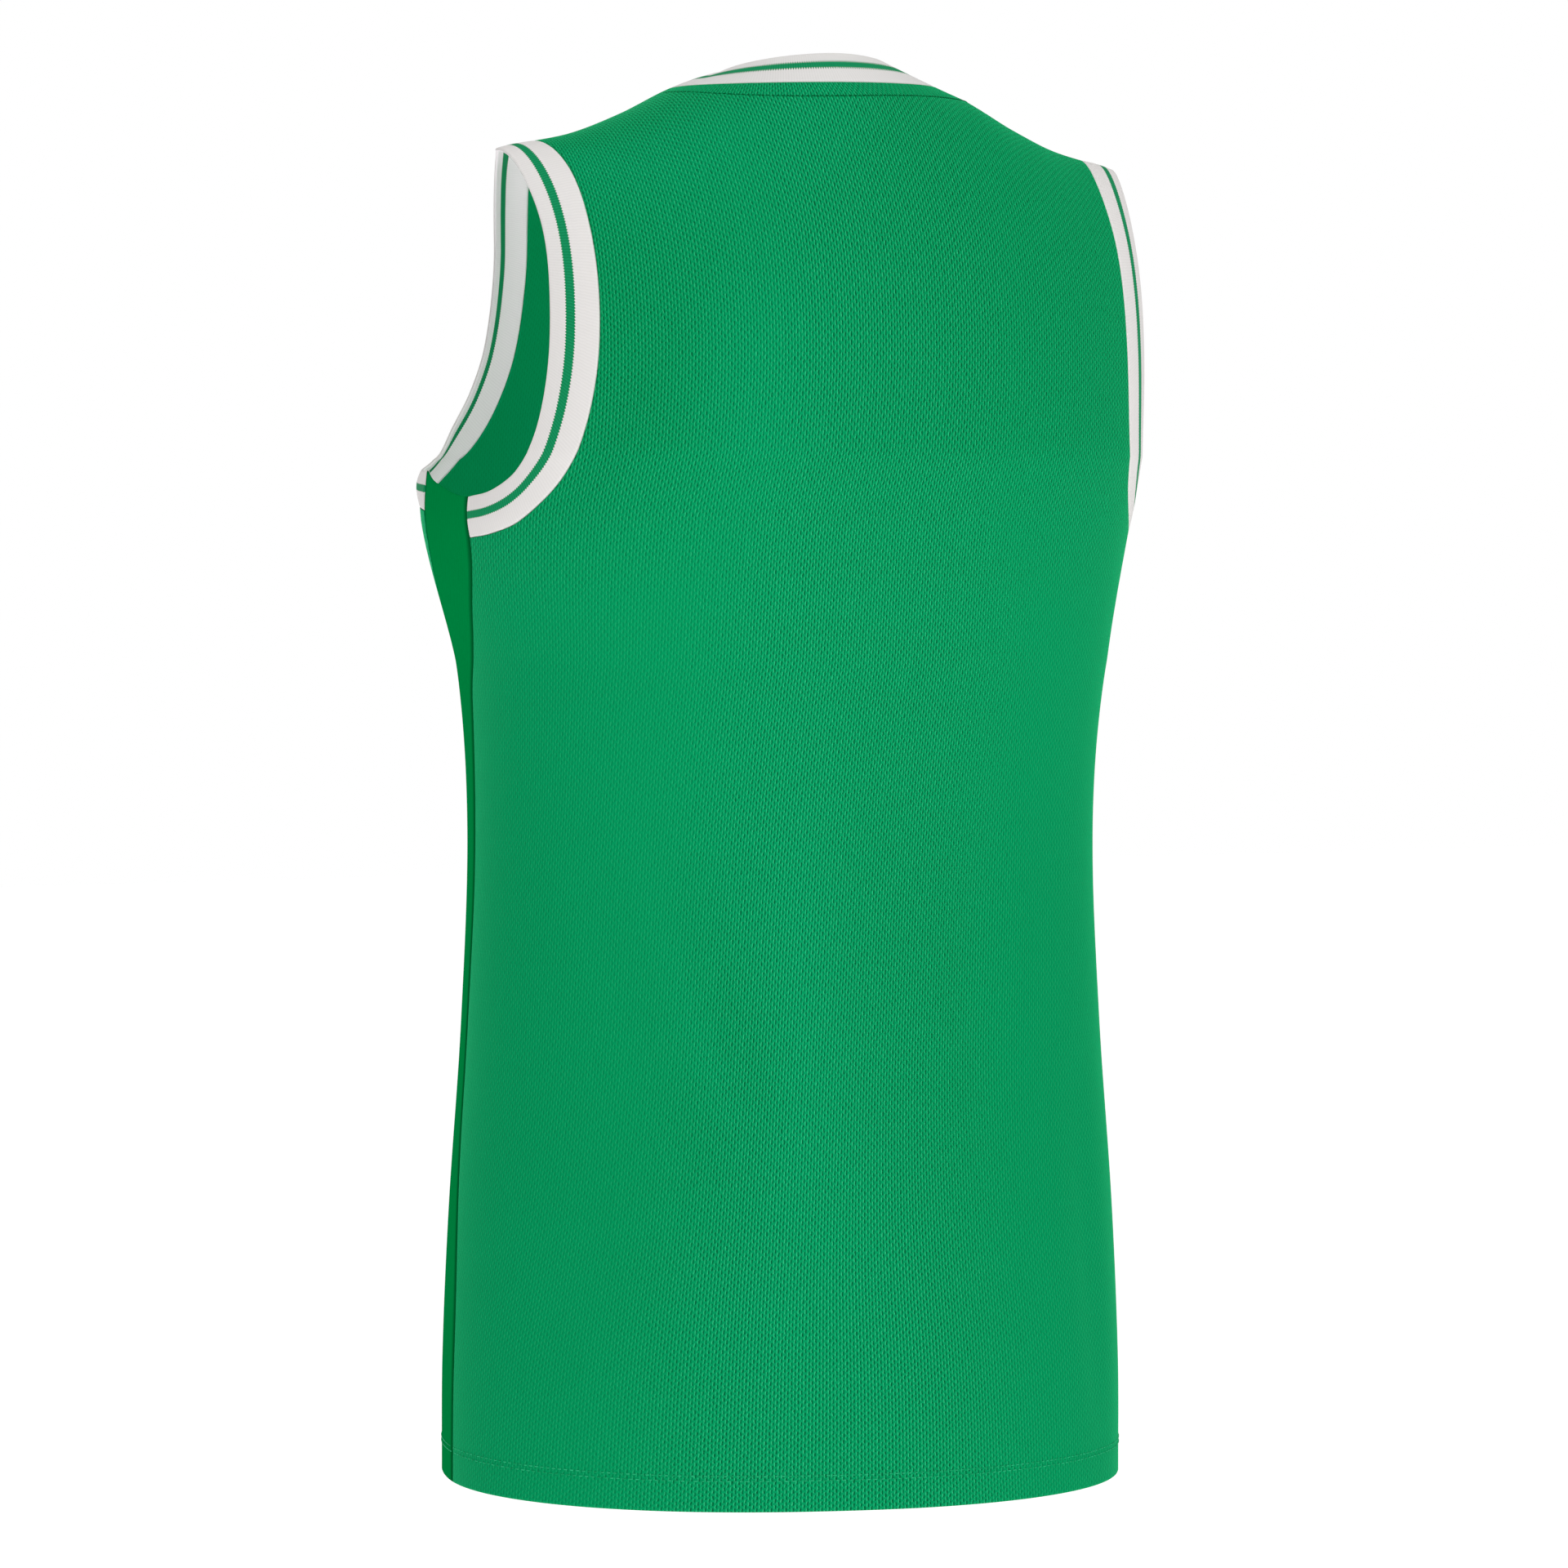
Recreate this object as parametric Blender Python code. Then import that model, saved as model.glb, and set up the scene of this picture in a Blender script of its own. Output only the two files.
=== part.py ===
"""Basketball jersey, hollow and in its worn form, as cut panels with ribbed bands.

The jersey faces -Y, the wearer's left is +X and +Z is up, in metres.  The origin lies midway
between the shoulders, on the crest line that the straps hang from.  Every panel is a closed
wall of cloth.  Its outer points lie on one shared skin, whose back and front halves are worked
out from level sections of the body and arch over the shoulders to the crest line.
"""

import math
from dataclasses import dataclass

import bmesh
import bpy
import numpy as np

# ---------------------------------------------------------------- driving dimensions
ORIGIN_HEIGHT = 0.710           # the straps' middle, above the hem
SIDE_LINE = -0.040              # the sides lie this far ahead of the crest line
ARCH_BASE = 0.535               # above this height both halves arch over to the crest line
ARCH_SCALE = 0.135              # metres of level for each radian of arch
ARCH_POWER = {+1: 2.10, -1: 1.70}   # fullness of the arch behind and ahead
TWIST = math.radians(9.5)       # the hips stand turned against the shoulders
TWIST_LEVELS = (0.10, 0.56)     # the turn is spread between these heights

CLOTH = 0.0014                  # wall of the mesh knit panels
RIB_CLOTH = 0.0020              # wall of the doubled rib bands
HEM_CLOTH = 0.0026              # wall where the hem is turned up
HEM_TURN = 0.018                # height of the turned hem
SEAM_GAP = 0.0003               # between pieces at their seams
RIB_WIDTH = 0.0260              # finished width of the neck band

HEM_SLANT = 0.020               # rise of the hem for each metre toward the wearer's left
HEM_SLANT_TOP = 0.25            # the slant has died away at this height

NECK_FRONT_DROP = 0.098         # neck seam: crest line to the middle of the front
NECK_POWER = 2.2                # squareness of the neck seam, seen from ahead
NECK_STAND = {"back": math.radians(-2.5), "side": math.radians(7), "front": math.radians(7)}

BACK_SEAM_TOP = 0.4927          # side seam of the back ends here, at the armhole band
FRONT_SEAM_TOP = 0.5070
BACK_BAND_TOP = 0.5137          # free edge of the armhole band where it meets the side panel
FRONT_BAND_TOP = 0.5280
TOP_EDGE_BEND = 1.8             # how late the top edge of a side panel rises toward the front
STRAP_SEAM_HALF_WIDTH = 0.152   # armhole seam where it crosses the crest line
STRAP_EDGE_HALF_WIDTH = 0.172   # free edge of the armhole band there

SIDE_ROWS = 27                  # rows of points from the hem up to the armhole
ARMHOLE_ROWS = 16               # rows of points up each half of an armhole
STRAP_COLUMNS = 6               # columns of points that end on each strap
BACK_NECK_COLUMNS = 12          # columns that end on the back neckline
FRONT_NECK_COLUMNS = 18
SIDE_COLUMNS = 5
RIB_COLUMNS = 3
YOKE_ROWS = 2


@dataclass(frozen=True)
class Section:
    """One level of the body: sizes from the side line at a height above the hem."""

    height: float
    half_width: float
    behind: float
    ahead: float
    squareness: float           # 2 is an ellipse, more is squarer


SECTIONS = (
    Section(0.000, 0.1810, 0.118, 0.122, 2.20),
    Section(0.060, 0.1805, 0.119, 0.122, 2.20),
    Section(0.140, 0.1770, 0.117, 0.119, 2.20),
    Section(0.240, 0.1705, 0.113, 0.114, 2.20),
    Section(0.340, 0.1675, 0.115, 0.112, 2.20),
    Section(0.420, 0.1720, 0.127, 0.116, 2.30),
    Section(0.500, 0.1860, 0.147, 0.124, 2.45),
    Section(0.535, 0.1880, 0.154, 0.124, 2.55),
)


@dataclass(frozen=True)
class SideSeam:
    """Side seams at a height: how far behind and ahead of the side line they run."""

    height: float
    behind: float
    ahead: float


SIDE_SEAMS = (
    SideSeam(0.000, 0.0185, 0.040),
    SideSeam(0.100, 0.0190, 0.042),
    SideSeam(0.200, 0.0085, 0.044),
    SideSeam(0.300, 0.0045, 0.044),
    SideSeam(0.410, 0.0050, 0.042),
    SideSeam(0.450, 0.0230, 0.036),
    SideSeam(0.485, 0.0400, 0.024),
    SideSeam(0.535, 0.0450, 0.018),
)


@dataclass(frozen=True)
class ArmholeRow:
    """Armhole band: heights, and angles round the skin, of its seam and its free edge."""

    seam_height: float
    seam_angle: float
    edge_height: float
    edge_angle: float


BACK_ARMHOLE = (
    ArmholeRow(0.4945, 70.5, 0.5165, 70.5),
    ArmholeRow(0.5005, 62.0, 0.5240, 64.6),
    ArmholeRow(0.5160, 53.8, 0.5340, 61.4),
    ArmholeRow(0.5350, 49.2, 0.5500, 59.0),
    ArmholeRow(0.5650, 46.5, 0.5750, 57.4),
    ArmholeRow(0.6000, 45.4, 0.6050, 56.8),
    ArmholeRow(0.6450, 45.5, 0.6450, 57.0),
    ArmholeRow(0.6770, 46.3, 0.6730, 59.2),
)
FRONT_ARMHOLE = (
    ArmholeRow(0.5120, 68.0, 0.5300, 69.0),
    ArmholeRow(0.5270, 52.5, 0.5365, 57.0),
    ArmholeRow(0.5400, 43.8, 0.5530, 50.8),
    ArmholeRow(0.5600, 37.6, 0.5710, 46.0),
    ArmholeRow(0.5900, 34.3, 0.5950, 43.6),
    ArmholeRow(0.6250, 35.0, 0.6300, 45.4),
    ArmholeRow(0.6550, 38.2, 0.6600, 50.5),
)


@dataclass(frozen=True)
class NapeSeam:
    """Seam round the back of the neck: where it meets the crest line, and its sag between."""

    shift: float                # its middle lies this far over to the wearer's left
    half_width: float           # to its ends on the crest line
    sag: float                  # at mid back, below the straight line between its ends
    lean: float                 # how much more of the sag lies toward the wearer's left


NECK_SEAM = NapeSeam(0.0055, 0.0715, 0.0013, 0.0)
YOKE_SEAM = NapeSeam(0.0000, 0.0843, 0.0033, 1.3)


@dataclass(frozen=True)
class CrestRow:
    """Crest line of the shoulders: its height over a place across."""

    across: float
    height: float


CREST = (
    CrestRow(-0.0725, 0.7240),
    CrestRow(0.0000, 0.7450),
    CrestRow(0.0725, 0.7240),
    CrestRow(0.1040, 0.7085),
    CrestRow(0.1310, 0.6975),
    CrestRow(0.1570, 0.6915),
    CrestRow(0.1900, 0.6840),
)


@dataclass(frozen=True)
class Sway:
    """How far the body stands over to the wearer's left at a height."""

    height: float
    left: float


SWAYS = (
    Sway(0.430, 0.0000),
    Sway(0.500, 0.0045),
    Sway(0.540, 0.0015),
    Sway(0.590, -0.0020),
    Sway(0.640, -0.0030),
    Sway(0.690, 0.0000),
)


@dataclass(frozen=True)
class Fold:
    """A soft crease or swell of the skin between two places, named by angle and height."""

    half: int                   # +1 back, -1 front
    start: tuple
    end: tuple
    spread: float               # half width of the swell
    rise: float                 # out of the skin, or into it when negative


FOLD_WAVE = (0.08, 0.92)        # part of a half wave that a fold rises and falls along
FOLD_FULLNESS = 0.7             # below 1 a fold keeps its depth nearer its ends
FOLDS = (
    Fold(+1, (48.0, 0.310), (24.0, 0.185), 0.016, -0.0022),
    Fold(+1, (36.0, 0.335), (13.0, 0.205), 0.016, -0.0020),
    Fold(+1, (2.0, 0.450), (4.0, 0.170), 0.030, 0.0022),
    Fold(+1, (-52.0, 0.200), (-58.0, 0.030), 0.018, -0.0020),
    Fold(+1, (32.0, 0.140), (22.0, 0.040), 0.030, 0.0020),
    Fold(-1, (-46.0, 0.320), (-22.0, 0.190), 0.016, -0.0022),
    Fold(-1, (40.0, 0.300), (16.0, 0.180), 0.018, -0.0020),
    Fold(-1, (0.0, 0.420), (-4.0, 0.120), 0.034, 0.0022),
)


# ---------------------------------------------------------------- finishes
@dataclass(frozen=True)
class Finish:
    """Colour, roughness and metallic value of one cloth."""

    name: str
    colour: tuple
    roughness: float = 0.85
    metallic: float = 0.0


MESH_KNIT = Finish("green mesh knit", (0.003, 0.290, 0.105, 1.0))
FLAT_KNIT = Finish("green flat knit", (0.002, 0.205, 0.055, 1.0), 0.80)
RIB_KNIT = Finish("white rib knit", (0.760, 0.755, 0.740, 1.0), 0.90)


def finish_material(finish):
    """Return a Principled BSDF material for a finish."""
    material = bpy.data.materials.get(finish.name) or bpy.data.materials.new(finish.name)
    material.use_nodes = True
    shader = next(n for n in material.node_tree.nodes if n.type == "BSDF_PRINCIPLED")
    shader.inputs["Base Color"].default_value = finish.colour
    shader.inputs["Roughness"].default_value = finish.roughness
    shader.inputs["Metallic"].default_value = finish.metallic
    material.diffuse_color = finish.colour
    return material


# ---------------------------------------------------------------- smooth rows and turns
def through(knots, values, at):
    """Value at a place on the smooth curve through rows of a table, held at both ends."""
    last = len(knots) - 1
    if at <= knots[0]:
        return values[0]
    if at >= knots[last]:
        return values[last]
    low = max(i for i in range(last) if knots[i] <= at)
    span = knots[low + 1] - knots[low]

    def slope(i):
        before, after = max(i - 1, 0), min(i + 1, last)
        return (values[after] - values[before]) / (knots[after] - knots[before])

    t = (at - knots[low]) / span
    return ((2 * t**3 - 3 * t**2 + 1) * values[low] + (t**3 - 2 * t**2 + t) * span * slope(low)
            + (3 * t**2 - 2 * t**3) * values[low + 1] + (t**3 - t**2) * span * slope(low + 1))


def table_value(rows, field, height):
    """Read one column of a table of levels at a height."""
    return through([row.height for row in rows], [getattr(row, field) for row in rows], height)


def eased(low, high, at):
    """0 below low, 1 above high, smooth between."""
    t = min(max((at - low) / (high - low), 0.0), 1.0)
    return t * t * (3.0 - 2.0 * t)


def crest_height(x):
    """Height of the crest line over a place across the shoulders."""
    return through([row.across for row in CREST], [row.height for row in CREST], abs(x))


# ---------------------------------------------------------------- the shared skin
TOP_LEVEL = ARCH_BASE + ARCH_SCALE * math.pi / 2
PROBE = 0.002                   # step of angle or level when a slope of the skin is taken
LINE_STEPS = 120                # steps in a finely drawn line on the skin


def section_point(half, angle, height):
    """Flat place (x, y) on the body section at a height; the angle is 0 at mid back or front."""
    at = min(height, ARCH_BASE)
    depth = table_value(SECTIONS, "behind" if half > 0 else "ahead", at)
    power = 2.0 / table_value(SECTIONS, "squareness", at)
    sine, cosine = math.sin(angle), abs(math.cos(angle))
    x = table_value(SECTIONS, "half_width", at) * math.copysign(abs(sine) ** power, sine)
    return x, SIDE_LINE + half * depth * cosine**power


def angle_across(x):
    """Angle round the arched skin that lies over a place across the shoulders."""
    share = abs(x) / table_value(SECTIONS, "half_width", ARCH_BASE)
    squareness = table_value(SECTIONS, "squareness", ARCH_BASE)
    return math.copysign(math.asin(min(share ** (squareness / 2.0), 1.0)), x)


def angle_beside(half, offset, height):
    """Angle of the place on the skin that lies an offset behind or ahead of the side line."""
    at = min(height, ARCH_BASE)
    depth = table_value(SECTIONS, "behind" if half > 0 else "ahead", at)
    squareness = table_value(SECTIONS, "squareness", at)
    return math.acos((offset / depth) ** (squareness / 2.0))


def level_of(half, angle, height):
    """Level of a height on the skin: the height itself, then the turn of the arch."""
    if height <= ARCH_BASE:
        return height
    x, _ = section_point(half, angle, ARCH_BASE)
    share = min((height - ARCH_BASE) / (crest_height(x) - ARCH_BASE), 1.0)
    return ARCH_BASE + ARCH_SCALE * math.asin(share ** (ARCH_POWER[half] / 2.0))


def fold_rise(half, angle, height):
    """Sum of the folds at a place on the skin."""
    rise = 0.0
    across = table_value(SECTIONS, "half_width", min(height, ARCH_BASE))
    here = np.array([across * angle, height])
    for fold in FOLDS:
        if fold.half != half:
            continue
        start = np.array([across * math.radians(fold.start[0]), fold.start[1]])
        end = np.array([across * math.radians(fold.end[0]), fold.end[1]])
        run = end - start
        share = min(max(float((here - start) @ run / (run @ run)), 0.0), 1.0)
        away = float(np.linalg.norm(here - start - share * run))
        wave = FOLD_WAVE[0] + (FOLD_WAVE[1] - FOLD_WAVE[0]) * share
        swell = math.sin(math.pi * wave) ** FOLD_FULLNESS
        rise += fold.rise * swell * math.exp(-((away / fold.spread) ** 2))
    return rise


def skin(half, angle, level):
    """Point of the outer skin: half +1 back or -1 front, angle across, level upwards."""
    height = min(level, ARCH_BASE)
    x, y = section_point(half, angle, height)
    if level > ARCH_BASE:
        lift = min((level - ARCH_BASE) / ARCH_SCALE, math.pi / 2)
        power = 2.0 / ARCH_POWER[half]
        height += (crest_height(x) - ARCH_BASE) * math.sin(lift) ** power
        y *= max(math.cos(lift), 0.0) ** power
    rise = fold_rise(half, angle, level)
    x += rise * math.sin(angle)
    y += half * rise * math.cos(angle)
    turn = -TWIST * (1.0 - eased(*TWIST_LEVELS, height))
    y -= SIDE_LINE
    x, y = (x * math.cos(turn) - y * math.sin(turn), x * math.sin(turn) + y * math.cos(turn))
    height += HEM_SLANT * x * (1.0 - eased(0.0, HEM_SLANT_TOP, height))
    x += table_value(SWAYS, "left", height)
    return np.array([x, y + SIDE_LINE, height - ORIGIN_HEIGHT])


def skin_normal(half, angle, level):
    """Unit normal out of the skin at a place; on the crest line both halves share it."""
    low, high = max(angle - PROBE, -math.pi / 2), min(angle + PROBE, math.pi / 2)
    across = skin(half, high, level) - skin(half, low, level)
    if level > TOP_LEVEL - 2 * PROBE:
        up = np.array([0.0, -half, 0.0])
    else:
        up = skin(half, angle, level + PROBE) - skin(half, angle, level - PROBE)
    normal = np.cross(across, up) * -half
    return normal / np.linalg.norm(normal)


# ---------------------------------------------------------------- seam lines on the skin
def seam_angle(half, height):
    """Angle of a side seam at a height."""
    offset = table_value(SIDE_SEAMS, "behind" if half > 0 else "ahead", height)
    return angle_beside(half, offset, height)


def armhole_line(half, kind):
    """Rows of (angle, level) up one half of an armhole, from the side panel to the crest."""
    table = BACK_ARMHOLE if half > 0 else FRONT_ARMHOLE
    if kind == "seam":
        foot = BACK_SEAM_TOP if half > 0 else FRONT_SEAM_TOP
        crest = angle_across(STRAP_SEAM_HALF_WIDTH)
    else:
        foot = BACK_BAND_TOP if half > 0 else FRONT_BAND_TOP
        crest = angle_across(STRAP_EDGE_HALF_WIDTH)
    angles = [seam_angle(half, foot)]
    levels = [foot]
    for row in table:
        angle = math.radians(getattr(row, kind + "_angle"))
        angles.append(angle)
        levels.append(level_of(half, angle, getattr(row, kind + "_height")))
    angles.append(crest)
    levels.append(TOP_LEVEL)
    places = [skin(half, a, v) for a, v in zip(angles, levels)]
    run = np.concatenate([[0.0], np.cumsum([float(np.linalg.norm(b - a))
                                            for a, b in zip(places, places[1:])])])
    stations = np.linspace(0.0, run[-1], ARMHOLE_ROWS + 1)
    return [(through(run, angles, s), min(through(run, levels, s), TOP_LEVEL)) for s in stations]


def neck_front(turn):
    """Place (angle, level) on the front neck seam; turn is 0 at mid front, 90 degrees at crest."""
    power = 2.0 / NECK_POWER
    sine = math.sin(turn)
    x = NECK_SEAM.shift + NECK_SEAM.half_width * math.copysign(abs(sine) ** power, sine)
    height = crest_height(x) - NECK_FRONT_DROP * max(math.cos(turn), 0.0) ** power
    angle = angle_across(x)
    return angle, level_of(-1, angle, height)


def neck_back(turn, seam):
    """Place (angle, level) on a seam round the back of the neck; turn is 0 at mid back."""
    share = math.sin(turn)
    right, left = (crest_height(seam.shift + side * seam.half_width) for side in (-1, +1))
    height = right + (left - right) * (1.0 + share) / 2
    height -= seam.sag * (1.0 - share**2) * (1.0 + seam.lean * share)
    angle = angle_across(seam.shift + seam.half_width * share)
    return angle, level_of(+1, angle, height)


def evenly(half, line, count):
    """Places (angle, level) set evenly along a finely drawn line on the skin."""
    points = [skin(half, *place) for place in line]
    steps = [float(np.linalg.norm(b - a)) for a, b in zip(points, points[1:])]
    run = [0.0]
    for step in steps:
        run.append(run[-1] + step)
    stations = np.linspace(0.0, run[-1], count + 1)
    angles, levels = zip(*line)
    return list(zip(np.interp(stations, run, angles), np.interp(stations, run, levels)))


def neck_line(half, seam=NECK_SEAM):
    """Places (angle, level) along one half of a line round the neck, from right to left."""
    turns = [math.pi * (i / LINE_STEPS - 0.5) for i in range(LINE_STEPS + 1)]
    if half > 0:
        return evenly(half, [neck_back(t, seam) for t in turns], BACK_NECK_COLUMNS)
    return evenly(half, [neck_front(t) for t in turns], FRONT_NECK_COLUMNS)


def top_edge(half):
    """Columns of (angle, level) along the top of the back or front panel, from right to left."""
    seam = YOKE_SEAM if half > 0 else NECK_SEAM
    columns = neck_line(half, seam)

    def strap(side):
        start = seam.shift + side * seam.half_width
        end = side * STRAP_SEAM_HALF_WIDTH
        return [(angle_across(start + (end - start) * i / STRAP_COLUMNS), TOP_LEVEL)
                for i in range(1, STRAP_COLUMNS + 1)]

    return strap(-1)[::-1] + columns + strap(+1)


def side_levels(half):
    """Heights of the rows of points from the hem to the top of a side seam."""
    top = BACK_SEAM_TOP if half > 0 else FRONT_SEAM_TOP
    hem_rows = [0.0, HEM_TURN / 2, HEM_TURN]
    plain = SIDE_ROWS - len(hem_rows) + 1
    return hem_rows + [HEM_TURN + (top - HEM_TURN) * i / plain for i in range(1, plain + 1)]


# ---------------------------------------------------------------- grids of places on the skin
def body_grid(half):
    """Places on the back or front panel, rows upwards, columns from right to left."""
    border = [(seam_angle(half, z), z) for z in side_levels(half)]
    border += armhole_line(half, "seam")[1:]
    top = top_edge(half)
    reach = top[-1][0]
    rows = []
    for edge_angle, edge_level in border:
        row = []
        for top_angle, top_level in top:
            level = edge_level
            if level > ARCH_BASE:
                share = (top_level - ARCH_BASE) / (TOP_LEVEL - ARCH_BASE)
                level = ARCH_BASE + (level - ARCH_BASE) * share
            row.append((half, edge_angle * top_angle / reach, level))
        rows.append(row)
    return rows


def side_seam_line(half):
    """Rows of (angle, level) up a side seam, past the end of the armhole band as well."""
    line = [(seam_angle(half, z), z) for z in side_levels(half)]
    foot_angle, foot = line[-1]
    top = BACK_BAND_TOP if half > 0 else FRONT_BAND_TOP
    top_angle = seam_angle(half, top)
    shares = [i / RIB_COLUMNS for i in range(1, RIB_COLUMNS + 1)]
    return line + [(foot_angle + (top_angle - foot_angle) * s, foot + (top - foot) * s)
                   for s in shares]


def side_panel_grid(side):
    """Places on a side panel, from its back seam round to its front seam."""
    behind, ahead = side_seam_line(+1), side_seam_line(-1)
    rows = []
    for (back_angle, back_level), (front_angle, front_level) in zip(behind, ahead):
        sweep = (math.pi - front_angle) - back_angle
        top_share = eased(BACK_SEAM_TOP, BACK_BAND_TOP, back_level)
        row = []
        for i in range(SIDE_COLUMNS + 1):
            share = i / SIDE_COLUMNS
            bend = share ** (1.0 + (TOP_EDGE_BEND - 1.0) * top_share)
            level = back_level + (front_level - back_level) * bend
            round_to = back_angle + sweep * share
            half, angle = (+1, round_to) if round_to <= math.pi / 2 else (-1, math.pi - round_to)
            row.append((half, side * angle, level))
        rows.append(row)
    return rows


def armhole_band_grid(side):
    """Places on an armhole band, from the back side seam over the crest to the front."""
    shares = [i / RIB_COLUMNS for i in range(RIB_COLUMNS + 1)]
    rows = []
    for half in (+1, -1):
        pairs = list(zip(armhole_line(half, "seam"), armhole_line(half, "edge")))
        if half < 0:
            pairs = pairs[-2::-1]
        for (seam_at, seam_level), (edge_at, edge_level) in pairs:
            rows.append([(half, side * (seam_at + (edge_at - seam_at) * s),
                          seam_level + (edge_level - seam_level) * s) for s in shares])
    return rows


def yoke_grid():
    """Places on the back yoke strip, from its seam up to the neck band."""
    low = neck_line(+1, YOKE_SEAM)
    high = neck_line(+1)
    shares = [j / YOKE_ROWS for j in range(YOKE_ROWS + 1)]
    return [[(+1, a + (b - a) * s, u + (v - u) * s) for (a, u), (b, v) in zip(low, high)]
            for s in shares]


def neck_seam():
    """Closed ring along the neck seam: places, and how far the band stands off the skin there."""
    back = [((+1,) + place, abs(i / BACK_NECK_COLUMNS - 0.5) * 2, "back")
            for i, place in enumerate(neck_line(+1))]
    front = [((-1,) + place, abs(i / FRONT_NECK_COLUMNS - 0.5) * 2, "front")
             for i, place in enumerate(neck_line(-1))]
    middle = BACK_NECK_COLUMNS // 2
    ring = back[middle:] + front[-2:0:-1] + back[:middle]
    return [(place, NECK_STAND[end] + (NECK_STAND["side"] - NECK_STAND[end]) * share)
            for place, share, end in ring]


# ---------------------------------------------------------------- sheets: points and normals
def skin_sheet(places):
    """Outer points and unit normals of a grid of places on the skin."""
    points = np.array([[skin(*place) for place in row] for row in places])
    normals = np.array([[skin_normal(*place) for place in row] for row in places])
    return points, normals


def neck_band_sheet():
    """Outer points and unit normals of the neck band, from its seam inwards to its free edge."""
    ring = neck_seam()
    seam = np.array([skin(*place) for place, _ in ring])
    out = np.array([skin_normal(*place) for place, _ in ring])
    along = np.roll(seam, -1, axis=0) - np.roll(seam, 1, axis=0)
    inward = np.cross(out, along)
    inward /= np.linalg.norm(inward, axis=1, keepdims=True)
    inward *= math.copysign(1.0, float(np.sum(inward * (seam.mean(axis=0) - seam))))
    stand = np.array([[angle] for _, angle in ring])
    reach = RIB_WIDTH * (np.cos(stand) * inward + np.sin(stand) * out)
    shares = np.linspace(0.0, 1.0, RIB_COLUMNS + 1)
    points = seam[:, None, :] + reach[:, None, :] * shares[None, :, None]
    around = np.roll(points, -1, axis=0) - np.roll(points, 1, axis=0)
    normals = np.cross(around, np.gradient(points, axis=1))
    normals /= np.linalg.norm(normals, axis=2, keepdims=True)
    normals *= math.copysign(1.0, float(np.sum(normals[:, 0] * out)))
    normals[:, 0] = out
    return points, normals


# ---------------------------------------------------------------- walls of cloth
SHARP_ANGLE = math.radians(40)  # edges steeper than this keep a crisp line


def inset_edges(points, ring):
    """Draw the borders of a grid in by half the seam gap, square to each border."""
    inset = points.copy()

    def draw_in(edge, inner, closed):
        along = np.roll(edge, -1, axis=0) - np.roll(edge, 1, axis=0)
        if not closed:
            along = np.gradient(edge, axis=0)
        along /= np.linalg.norm(along, axis=1, keepdims=True)
        step = inner - edge
        step -= np.sum(step * along, axis=1, keepdims=True) * along
        return step / np.linalg.norm(step, axis=1, keepdims=True) * SEAM_GAP / 2

    if not ring:
        inset[0] += draw_in(points[0], points[1], False)
        inset[-1] += draw_in(points[-1], points[-2], False)
    inset[:, 0] += draw_in(points[:, 0], points[:, 1], ring)
    inset[:, -1] += draw_in(points[:, -1], points[:, -2], ring)
    return inset


def cloth_wall(name, sheet, finish, thickness, ring=False):
    """Make one closed wall of cloth: outer points, the same points moved in, and its rims."""
    points, normals = sheet
    outer = inset_edges(points, ring)
    inner = outer - normals * np.broadcast_to(thickness, outer.shape[:2])[..., None]
    rows, columns = outer.shape[:2]
    mesh = bmesh.new()
    out, into = ([[mesh.verts.new(point) for point in row] for row in layer]
                 for layer in (outer, inner))
    row_steps = range(rows if ring else rows - 1)
    for v in (out, into):
        for j in row_steps:
            after = (j + 1) % rows
            for i in range(columns - 1):
                mesh.faces.new([v[j][i], v[j][i + 1], v[after][i + 1], v[after][i]])
    for j in row_steps:
        after = (j + 1) % rows
        for i in (0, columns - 1):
            mesh.faces.new([out[j][i], out[after][i], into[after][i], into[j][i]])
    if not ring:
        for i in range(columns - 1):
            for j in (0, rows - 1):
                mesh.faces.new([out[j][i], out[j][i + 1], into[j][i + 1], into[j][i]])
    bmesh.ops.recalc_face_normals(mesh, faces=mesh.faces[:])
    bmesh.ops.triangulate(mesh, faces=mesh.faces[:])
    data = bpy.data.meshes.new(name)
    mesh.to_mesh(data)
    mesh.free()
    data.materials.append(finish_material(finish))
    data.shade_smooth()
    data.set_sharp_from_angle(angle=SHARP_ANGLE)
    made = bpy.data.objects.new(name, data)
    bpy.context.scene.collection.objects.link(made)
    return made


def hemmed_thickness(places):
    """Wall of a panel with a turned hem, row by row: thicker over the lowest rows."""
    walls = [HEM_CLOTH if row[0][2] <= HEM_TURN else CLOTH for row in places]
    return np.array(walls)[:, None]


def build_jersey():
    """Make every piece of the jersey as its own named solid."""
    for name, half in (("back_panel", +1), ("front_panel", -1)):
        places = body_grid(half)
        cloth_wall(name, skin_sheet(places), MESH_KNIT, hemmed_thickness(places))
    for word, side in (("left", +1), ("right", -1)):
        places = side_panel_grid(side)
        cloth_wall("side_panel_" + word, skin_sheet(places), FLAT_KNIT, hemmed_thickness(places))
        cloth_wall("armhole_band_" + word, skin_sheet(armhole_band_grid(side)), RIB_KNIT, RIB_CLOTH)
    cloth_wall("back_yoke", skin_sheet(yoke_grid()), MESH_KNIT, CLOTH)
    cloth_wall("neck_band", neck_band_sheet(), RIB_KNIT, RIB_CLOTH, ring=True)


def main():
    """Clear the scene's objects and make the jersey."""
    for item in list(bpy.data.objects):
        bpy.data.objects.remove(item, do_unlink=True)
    build_jersey()


main()
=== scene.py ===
"""Basketball jersey, hollow and in its worn form: cloth, ribs, stitching, studio and camera.

The cloth lies on one skin: a back half and a front half, worked out from level sections of the
body, that arch over the shoulders to a crest line.  The jersey faces -Y, the wearer's left is
+X and +Z is up, in metres, and the origin is on the crest line between the shoulders.
"""

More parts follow.
